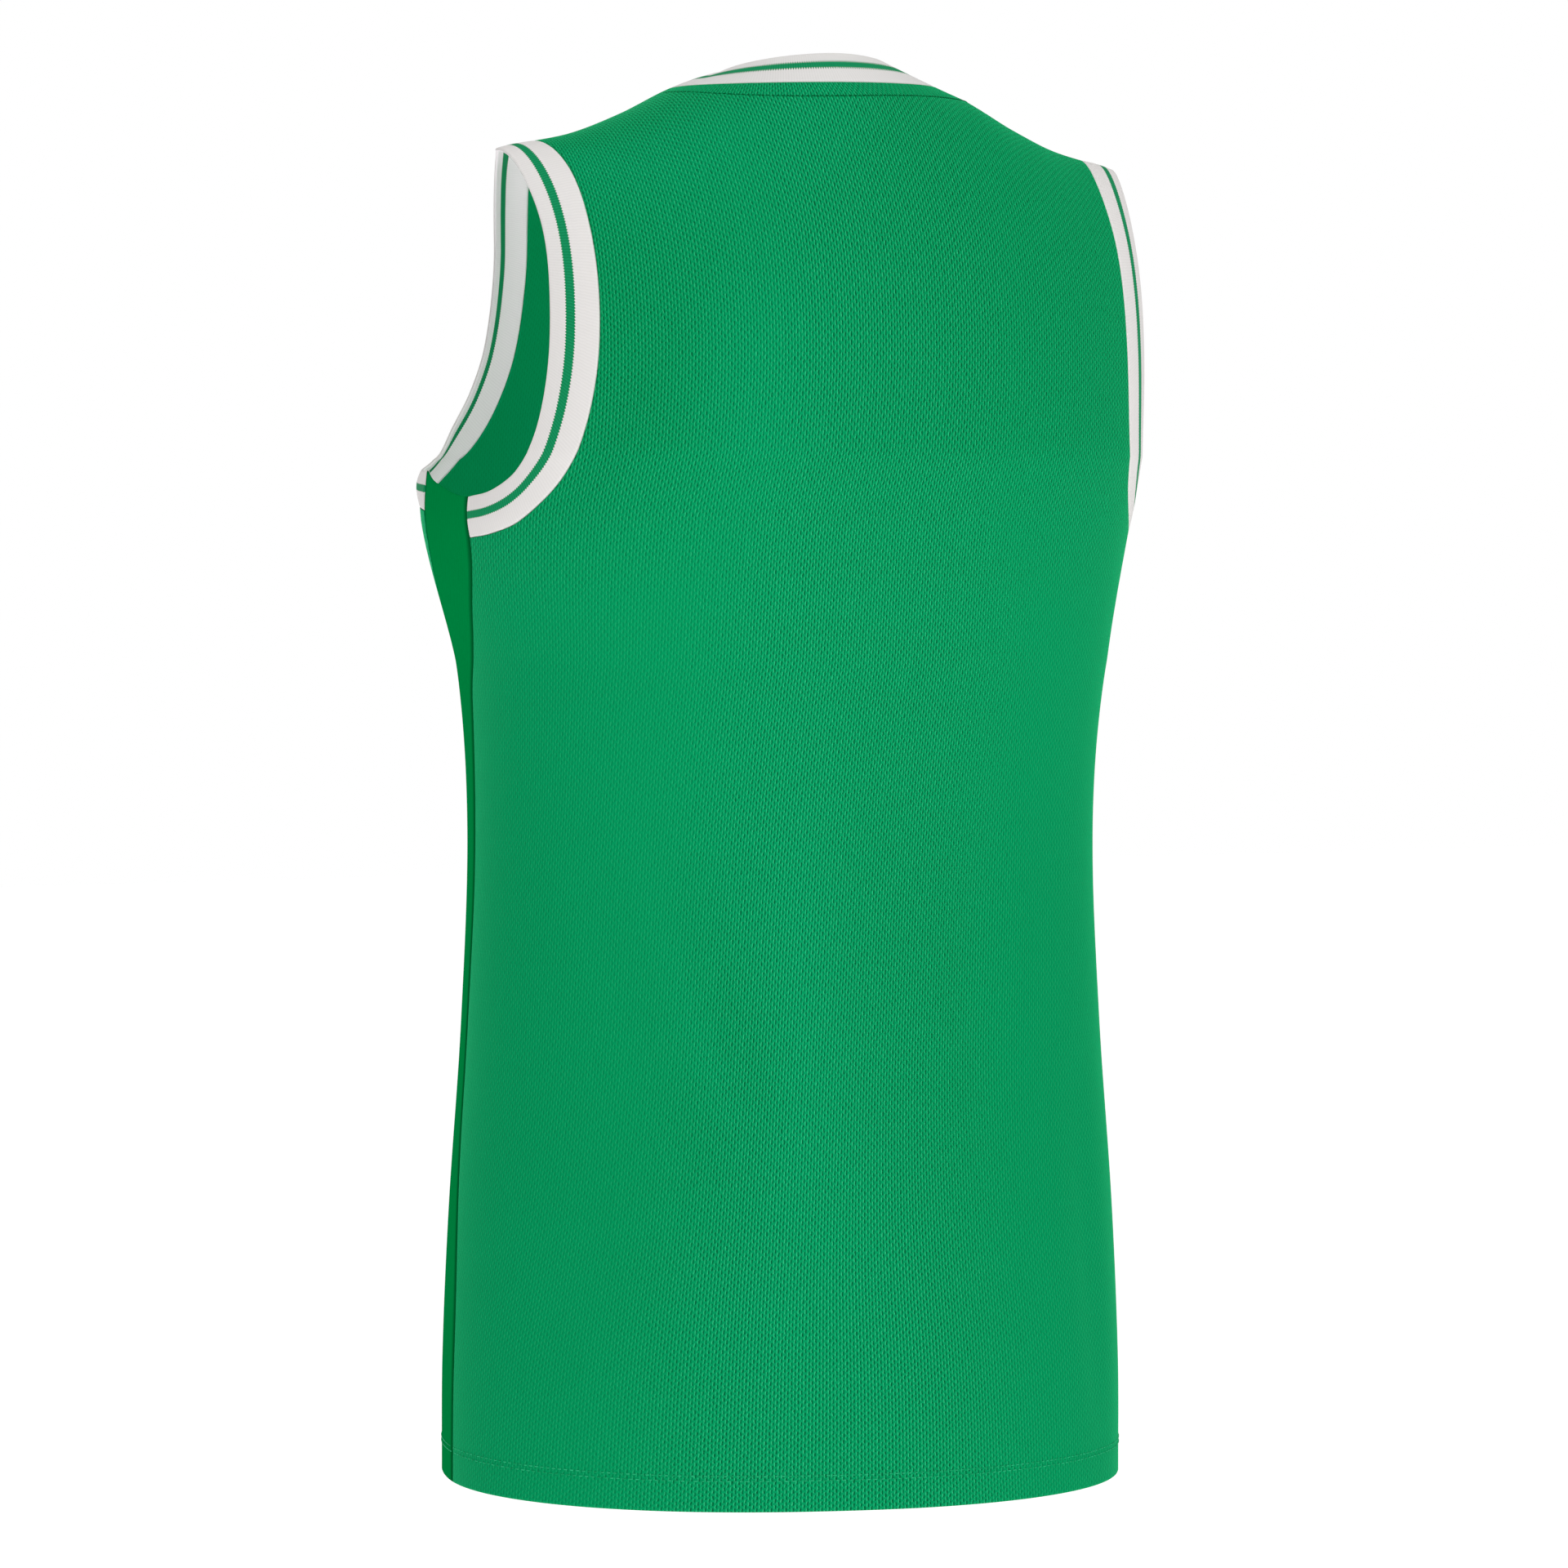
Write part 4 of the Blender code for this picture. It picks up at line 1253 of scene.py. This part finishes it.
@dataclass
class HemStitching:
    """Twin-needle rows that hold a turned hem."""

    skin: Skin
    heights: tuple[float, float] = (16.2 * MM, 18.8 * MM)
    starts: tuple[float, float] = (0.75, 1.25)          # first stitch of each row, in pitches

    def build(self, name: str, half: Any, angles: Array,
              material: bpy.types.Material) -> bpy.types.Object:
        """Lay both rows along a panel.

        Args:
            name: name of the piece.
            half: +1 or -1, one number or one for each place along the hem.
            angles: finely spaced angles along the hem.
            material: the thread's material.

        Returns:
            The new object.
        """
        rows = [(half, angles, np.full(len(angles), height), start)
                for height, start in zip(self.heights, self.starts)]
        return StitchRow(self.skin).build(name, rows, material)


@dataclass
class BodyPanel(Piece):
    """Back or front panel, from the turned hem up to the neck and the straps."""

    half: Half = Half.BACK
    hem_wall: float = 2.6 * MM
    hem_turn: float = 18.0 * MM
    rows_to_armhole: int = 108
    rows_by_armhole: int = 52
    strap_columns: int = 20
    neck_columns: int = 64
    neck_run: float = 0.25                  # rough lengths, which place the close rows and columns
    strap_run: float = 0.075
    armhole_run: float = 0.25
    stitch_level: float = 17.0 * MM
    stitch_samples: int = 400

    def top_edge(self) -> tuple[Array, Array]:
        """Angles and levels along the top, from the right armhole to the left one."""
        lines, sign = self.lines, self.half.value
        yoke = self.half is Half.BACK
        seam = lines.yoke_seam if yoke else lines.neck_seam
        middle = lines.neck(
            sign, shares_with_rims(self.neck_columns, self.neck_run, False, False), yoke)
        shares = shares_with_rims(self.strap_columns, self.strap_run, False, True)[1:]

        def strap(side: int) -> Array:
            """Angles from the end of the neckline out to the armhole seam."""
            start = seam.shift + side * seam.half_width
            return self.skin.angle_across(start + (side * lines.strap_seam - start) * shares)

        left, right = strap(+1), strap(-1)
        crest = np.full(len(shares), self.skin.top)
        return (np.concatenate([right[::-1], middle[0], left]),
                np.concatenate([crest, middle[1], crest]))

    def sheet(self) -> ClothSheet:
        """Grid of the panel: rows upwards, columns from the wearer's right to the left."""
        sign, skin = self.half.value, self.skin
        low = shares_with_rims(self.rows_to_armhole, self.lines.seam_top(sign), True, False)
        side_levels = low * self.lines.seam_top(sign)
        side_angles = self.lines.seam_angle(sign, side_levels)
        high = shares_with_rims(self.rows_by_armhole, self.armhole_run, False, True)[1:]
        arm_angles, arm_levels = self.lines.armhole(sign, "seam", high)
        edge_angles = np.concatenate([side_angles, arm_angles])[:, None]
        edge_levels = np.concatenate([side_levels, arm_levels])[:, None]
        top_angles, top_levels = self.top_edge()
        run = skin.run(skin.point(sign, top_angles, top_levels))
        even = (2.0 * run / run[-1] - 1.0)[None, :]
        reach = skin.top - skin.arch_base
        near_top = (np.maximum(edge_levels - skin.arch_base, 0.0) / reach) ** 2
        angles = edge_angles * (even + (top_angles[None, :] / top_angles[-1] - even) * near_top)
        share = (top_levels[None, :] - skin.arch_base) / reach
        over = np.maximum(edge_levels - skin.arch_base, 0.0)
        levels = np.minimum(edge_levels, skin.arch_base) + over * share
        return ClothSheet(skin.point(sign, angles, levels), skin.normal(sign, angles, levels),
                          Grain(skin).place(sign, angles, levels))

    def build(self) -> None:
        """Make the panel and its hem stitching."""
        sheet = self.sheet()
        height = sheet.points[..., 2] + self.skin.origin_height
        wall = self.wall + (self.hem_wall - self.wall) * (
            1.0 - eased(self.hem_turn - 1.0 * MM, self.hem_turn + 1.0 * MM, height))
        cloth = sheet.shell(self.name, wall, self.wardrobe.mesh, self.wardrobe.inside)
        sign = self.half.value
        reach = float(self.lines.seam_angle(sign, self.stitch_level))
        angles = np.linspace(-reach, reach, self.stitch_samples)
        stitches = HemStitching(self.skin).build(self.name + "_hem_stitches", sign, angles,
                                                 self.wardrobe.thread)
        extras = [stitches]
        if self.half is Half.BACK:
            extras.append(self.seam_stitches())
        self.dress(cloth, tuple(extras))

    def seam_stitches(self) -> bpy.types.Object:
        """Lay the sunk stitches along the yoke seam, whose dark dots are painted shade in their
        thread.
        """
        shares = np.linspace(0.02, 0.98, self.stitch_samples)
        angles, levels = self.lines.neck(+1, shares, True)
        row = StitchRow(self.skin, pitch=2.5 * MM, dash=1.5 * MM, radius=0.38 * MM,
                        lifts=(-1.1, -0.25, -0.25, -1.1))
        return row.build(self.name + "_seam_stitches", [(+1, angles, levels, 0.75)],
                         self.wardrobe.seam_shade_thread)


@dataclass
class SidePanel(Piece):
    """Close-knit side panel between the back and front side seams."""

    side: Side = Side.LEFT
    hem_wall: float = 2.6 * MM
    hem_turn: float = 18.0 * MM
    rows: int = 100
    band_rows: int = 6
    columns: int = 14
    height: float = 0.5                     # rough sizes, which place the close rows and columns
    band_height: float = 0.021
    width: float = 0.055
    top_bend: float = 1.8
    stitch_level: float = 17.0 * MM
    stitch_samples: int = 60

    def build(self) -> None:
        """Make the panel and its hem stitching."""
        lines, skin = self.lines, self.skin
        shares = shares_with_rims(self.rows, self.height, True, False)
        band = shares_with_rims(self.band_rows, self.band_height, False, True)[1:]
        back_angles, back_levels = lines.side_line_up(+1, shares, band)
        front_angles, front_levels = lines.side_line_up(-1, shares, band)
        across = shares_with_rims(self.columns, self.width, True, True)[None, :]
        over = eased(lines.back_seam_top, lines.back_band_top, back_levels)[:, None]
        bend = across ** (1.0 + (self.top_bend - 1.0) * over)
        levels = back_levels[:, None] + (front_levels - back_levels)[:, None] * bend
        sweep = (math.pi - front_angles) - back_angles
        round_to = back_angles[:, None] + sweep[:, None] * across
        half = np.where(round_to <= math.pi / 2, 1, -1)
        angles = self.side.value * np.where(half > 0, round_to, math.pi - round_to)
        points = skin.point(half, angles, levels)
        grain = np.stack([np.broadcast_to(across * self.width, levels.shape), levels], axis=-1)
        sheet = ClothSheet(points, skin.normal(half, angles, levels), grain)
        height = points[..., 2] + skin.origin_height
        wall = self.wall + (self.hem_wall - self.wall) * (
            1.0 - eased(self.hem_turn - 1.0 * MM, self.hem_turn + 1.0 * MM, height))
        cloth = sheet.shell(self.name, wall, self.wardrobe.close, self.wardrobe.close)
        low_row = int(np.argmin(np.abs(levels[:, 0] - self.stitch_level)))
        fine = np.linspace(round_to[low_row, 0], round_to[low_row, -1], self.stitch_samples)
        stitch_half = np.where(fine <= math.pi / 2, 1, -1)
        stitch_angles = self.side.value * np.where(stitch_half > 0, fine, math.pi - fine)
        stitches = HemStitching(skin).build(self.name + "_hem_stitches", stitch_half,
                                            stitch_angles, self.wardrobe.thread)
        self.dress(cloth, (stitches,))


@dataclass
class ArmholeBand(Piece):
    """Doubled rib band round an armhole, folded at its free edge.

    In front of the arm the band curls: its free edge turns back round the arm.
    """

    side: Side = Side.LEFT
    rows: int = 90
    columns: int = 12
    fullness: float = 0.5 * MM
    front_curl: float = 2.6 * MM
    curl_foot: float = 0.15                 # share of the front half over which the curl starts
    curl_crest: float = 0.80                # and past which it dies away

    def build(self) -> None:
        """Make the band."""
        skin = self.skin
        along = shares_with_rims(self.rows, 0.26, True, False)
        across = shares_with_rims(self.columns, 0.026, True, True)[None, :]
        halves, angles, levels, puffs = [], [], [], []
        for sign in (+1, -1):
            seam_angle, seam_level = self.lines.armhole(sign, "seam", along)
            edge_angle, edge_level = self.lines.armhole(sign, "edge", along)
            angle = seam_angle[:, None] + (edge_angle - seam_angle)[:, None] * across
            level = seam_level[:, None] + (edge_level - seam_level)[:, None] * across
            order = slice(None) if sign > 0 else slice(-2, None, -1)
            angles.append(self.side.value * angle[order])
            levels.append(level[order])
            halves.append(np.full(level[order].shape, sign))
            curl = eased(0.0, self.curl_foot, along) * (1.0 - eased(self.curl_crest, 1.0, along))
            puffs.append((self.fullness + (sign < 0) * self.front_curl * curl)[order])
        half, angle, level, puff = (np.concatenate(part)
                                    for part in (halves, angles, levels, puffs))
        points, out = skin.point(half, angle, level), skin.normal(half, angle, level)
        rise = puff[:, None] * np.sin(math.pi * across)
        points = points + out * rise[..., None]
        normals = unit(np.cross(np.gradient(points, axis=0), np.gradient(points, axis=1)))
        normals *= math.copysign(1.0, float(np.sum(normals * out)))
        normals[:, 0] = out[:, 0]
        length = skin.run(points[:, points.shape[1] // 2])
        grain = np.stack([np.broadcast_to(length[:, None], level.shape),
                          np.broadcast_to(1.0 - across, level.shape)], axis=-1)
        sheet = ClothSheet(points, normals, grain)
        self.dress(sheet.shell(self.name, self.wall, self.wardrobe.arm_rib,
                               self.wardrobe.arm_rib_lining_painted_light))


@dataclass
class BackYoke(Piece):
    """Shallow strip of mesh knit between the back's level seam and the neck band."""

    columns: int = 72
    rows: int = 5

    def build(self) -> None:
        """Make the strip."""
        shares = shares_with_rims(self.columns, 0.22, True, True)
        low_angle, low_level = self.lines.neck(+1, shares, True)
        high_angle, high_level = self.lines.neck(+1, shares)
        up = shares_with_rims(self.rows, 0.010, True, True)[:, None]
        angle = low_angle + (high_angle - low_angle) * up
        level = low_level + (high_level - low_level) * up
        points = self.skin.point(+1, angle, level)
        length = self.skin.run(points[0])
        rise = np.concatenate([np.zeros((1, points.shape[1])), np.cumsum(
            np.linalg.norm(np.diff(points, axis=0), axis=-1), axis=0)])
        across = length - length[-1] / 2
        grain = np.stack([np.broadcast_to(across[None, :], rise.shape), rise], axis=-1)
        sheet = ClothSheet(points, self.skin.normal(+1, angle, level), grain)
        self.dress(sheet.shell(self.name, self.wall, self.wardrobe.mesh, self.wardrobe.inside))


@dataclass
class NeckBand(Piece):
    """Doubled rib band round the neck, standing a little off the skin."""

    rib_width: float = 26.0 * MM
    stand_back: float = math.radians(-2.5)
    stand_side: float = math.radians(-4)
    stand_front: float = math.radians(7)
    back_columns: int = 60
    front_columns: int = 84
    across_columns: int = 12
    fullness: float = 0.5 * MM

    def build(self) -> None:
        """Make the closed band."""
        back = np.linspace(0.0, 1.0, self.back_columns + 1)
        front = np.linspace(0.0, 1.0, self.front_columns + 1)
        back_angle, back_level = self.lines.neck(+1, back)
        front_angle, front_level = self.lines.neck(-1, front)
        middle = self.back_columns // 2
        order = [(+1, i) for i in range(middle, self.back_columns + 1)]
        order += [(-1, i) for i in range(self.front_columns - 1, 0, -1)]
        order += [(+1, i) for i in range(0, middle + 1)]
        half = np.array([sign for sign, _ in order])
        angle = np.array([back_angle[i] if s > 0 else front_angle[i] for s, i in order])
        level = np.array([back_level[i] if s > 0 else front_level[i] for s, i in order])
        side_share = np.array([abs((back if s > 0 else front)[i] - 0.5) * 2 for s, i in order])
        end = np.where(half > 0, self.stand_back, self.stand_front)
        stand = (end + (self.stand_side - end) * side_share)[:, None]
        seam, out = self.skin.point(half, angle, level), self.skin.normal(half, angle, level)
        along = np.gradient(seam, axis=0)
        along[0] = along[-1] = seam[1] - seam[-2]
        inward = unit(np.cross(out, along))
        inward *= math.copysign(1.0, float(np.sum(inward * (seam.mean(axis=0) - seam))))
        reach = self.rib_width * (np.cos(stand) * inward + np.sin(stand) * out)
        across = shares_with_rims(self.across_columns, self.rib_width, True, True)
        points = seam[:, None, :] + reach[:, None, :] * across[None, :, None]
        around = np.gradient(points, axis=0)
        around[0] = around[-1] = points[1] - points[-2]
        normals = unit(np.cross(around, np.gradient(points, axis=1)))
        normals *= math.copysign(1.0, float(np.sum(normals[:, 0] * out)))
        normals[:, 0] = out
        points = points + normals * (self.fullness * np.sin(math.pi * across) ** 0.8)[None, :, None]
        length = self.skin.run(points[:, len(across) // 2])
        grain = np.stack([np.broadcast_to(length[:, None], points.shape[:2]),
                          np.broadcast_to(1.0 - across[None, :], points.shape[:2])], axis=-1)
        sheet = ClothSheet(points, normals, grain, ring=True)
        rib = self.wardrobe.neck_rib
        self.dress(sheet.shell(self.name, self.wall, rib, rib))


# ---------------------------------------------------------------- studio
@dataclass(frozen=True)
class SoftLight:
    """Large soft panel of light, aimed at the jersey's middle."""

    name: str
    place: tuple[float, float, float]
    size: float
    power: float
    aim: tuple[float, float, float] = (0.0, -0.04, -0.34)

    def build(self) -> None:
        """Add the light."""
        data = bpy.data.lights.new(self.name, "AREA")
        data.shape, data.size, data.energy = "SQUARE", self.size, self.power
        lamp = bpy.data.objects.new(self.name, data)
        lamp.location = self.place
        aim = Vector(self.aim) - Vector(self.place)
        lamp.rotation_euler = aim.to_track_quat("-Z", "Y").to_euler()
        lamp.visible_camera = False
        bpy.context.scene.collection.objects.link(lamp)
        LOG.info("light %s", self.name)


@dataclass(frozen=True)
class Studio:
    """Pale floor and surround, soft lights, and the camera of the photograph."""

    floor_height: float = -1.46             # where a wearer of this jersey would stand
    floor_size: float = 30.0
    floor_white: str = "#FFFFFF"
    floor_glow: float = 0.66
    surround: float = 1.0                   # beyond the jersey
    near_surround: float = 0.45             # on both sides and behind the camera
    ceiling: float = 0.55                   # share of it straight overhead
    far_wall: tuple[float, float] = (-0.82, -0.40)      # where it turns from far to near
    ceiling_edge: tuple[float, float] = (0.30, 0.75)    # and from wall to ceiling
    turn: float = math.radians(22.0)        # camera, round from straight behind to the left
    distance: float = 2.41
    camera_height: float = -0.230
    pitch: float = math.radians(2.76)
    lens: float = 105.0
    sensor: float = 36.0
    axis: tuple[float, float] = (0.0, -0.040)
    yaw: float = math.atan(2.0 / 5600.0)
    lights: tuple[SoftLight, ...] = (
        SoftLight("overhead_panel", (0.2, 0.5, 2.2), 2.4, 33.0),
        SoftLight("camera_panel", (0.05, 3.2, 0.9), 2.0, 28.0),
        SoftLight("low_panel", (0.1, 3.2, -0.5), 0.7, 12.0),
        SoftLight("front_panel_light", (0.4, -3.0, 0.3), 2.2, 13.0),
        SoftLight("inner_panel", (0.0, 0.05, -0.22), 0.12, 0.30, (0.0, -0.16, -0.15)),
    )

    def build(self) -> None:
        """Add the floor, the surround, the lights and the camera."""
        self.add_floor()
        self.add_surround()
        for light in self.lights:
            light.build()
        self.add_camera()

    def add_floor(self) -> None:
        """Add a plain pale floor."""
        half = self.floor_size / 2
        mesh = bpy.data.meshes.new("floor")
        mesh.from_pydata([(-half, -half, self.floor_height), (half, -half, self.floor_height),
                          (half, half, self.floor_height), (-half, half, self.floor_height)],
                         [], [(0, 1, 2, 3)])
        material = bpy.data.materials.new("matt_white_floor_paint")
        material.use_nodes = True
        tree = material.node_tree
        tree.nodes.clear()
        shader = add_node(tree, "BsdfPrincipled", inputs={
            "Base Color": to_linear(self.floor_white), "Roughness": 0.95,
            "Specular IOR Level": 0.0,
            "Emission Color": to_linear(self.floor_white), "Emission Strength": self.floor_glow})
        add_node(tree, "OutputMaterial", shader)
        mesh.materials.append(material)
        floor = bpy.data.objects.new("floor", mesh)
        bpy.context.scene.collection.objects.link(floor)
        floor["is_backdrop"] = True

    def add_surround(self) -> None:
        """Light the scene from all round with white walls under a darker ceiling."""
        world = bpy.data.worlds.new("white_surround")
        world.use_nodes = True
        tree = world.node_tree
        tree.nodes.clear()
        direction = add_node(tree, "TexCoord").outputs["Generated"]
        _, y, z = add_node(tree, "SeparateXYZ", direction).outputs
        level = add_node(tree, "MapRange", y, *self.far_wall, self.surround, self.near_surround,
                         interpolation_type="SMOOTHSTEP")
        above = add_node(tree, "MapRange", z, *self.ceiling_edge, 1.0, self.ceiling,
                         interpolation_type="SMOOTHSTEP")
        strength = add_node(tree, "Math", level, above, operation="MULTIPLY")
        glow = add_node(tree, "Background", (1.0, 1.0, 1.0, 1.0), strength)
        add_node(tree, "OutputWorld", glow)
        bpy.context.scene.world = world
        bpy.context.scene.view_settings.view_transform = "Standard"

    def add_camera(self) -> None:
        """Put the camera where the photograph was taken from."""
        out = Vector((math.sin(self.turn), math.cos(self.turn), 0.0))
        right = Vector((-math.cos(self.turn), math.sin(self.turn), 0.0))
        data = bpy.data.cameras.new("camera")
        data.lens, data.sensor_width = self.lens, self.sensor
        camera = bpy.data.objects.new("camera", data)
        camera.location = (Vector((self.axis[0], self.axis[1], self.camera_height))
                           + out * self.distance)
        look = -out * math.cos(self.yaw) + right * math.sin(self.yaw)
        look = look * math.cos(self.pitch) + Vector((0.0, 0.0, -1.0)) * math.sin(self.pitch)
        camera.rotation_euler = look.to_track_quat("-Z", "Y").to_euler()
        bpy.context.scene.collection.objects.link(camera)
        bpy.context.scene.camera = camera
        LOG.info("camera at %s", tuple(round(c, 3) for c in camera.location))


# ---------------------------------------------------------------- the jersey
@dataclass
class Jersey:
    """Whole jersey, built piece by piece."""

    skin: Skin = field(default_factory=Skin)

    def build(self) -> None:
        """Make every piece in the order a maker sews them."""
        lines = SeamLines(self.skin)
        wardrobe = Wardrobe()
        shared = (self.skin, lines, wardrobe)
        BodyPanel(*shared, "back_cloth", "back_panel", "mesh_knit", Cut(0.50, 0.72, 0.31),
                  1.4 * MM, half=Half.BACK).build()
        BodyPanel(*shared, "front_cloth", "front_panel", "mesh_knit", Cut(0.46, 0.72, 0.28),
                  1.4 * MM, half=Half.FRONT).build()
        BackYoke(*shared, "yoke_cloth", "back_yoke", "mesh_knit", Cut(0.22, 0.0145, 0.0028),
                 1.4 * MM).build()
        for side in Side:
            word = side.name.lower()
            SidePanel(*shared, "side_cloth_" + word, "side_panel_" + word, "flat_knit",
                      Cut(0.075, 0.53, 0.028), 1.4 * MM, side=side).build()
            ArmholeBand(*shared, "armhole_rib_" + word, "armhole_band_" + word, "rib_knit",
                        Cut(0.52, 0.027, 0.0125), 2.0 * MM, side=side).build()
        NeckBand(*shared, "neck_rib", "neck_band", "rib_knit", Cut(0.51, 0.027, 0.0135),
                 2.0 * MM).build()


def main() -> None:
    """Build the jersey and its studio, and log the box of the CAD parts and that of the finished
    scene.
    """
    logging.basicConfig(level=logging.INFO, format="%(message)s")
    cad_box = [list(corner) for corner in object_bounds()]
    Jersey().build()
    Studio().build()
    bpy.context.view_layer.update()
    visual_box = [list(corner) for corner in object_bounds()]
    LOG.info("cad %s", [[round(v, 4) for v in c] for c in cad_box])
    LOG.info("visual %s", [[round(v, 4) for v in c] for c in visual_box])


if __name__ == "__main__":
    main()
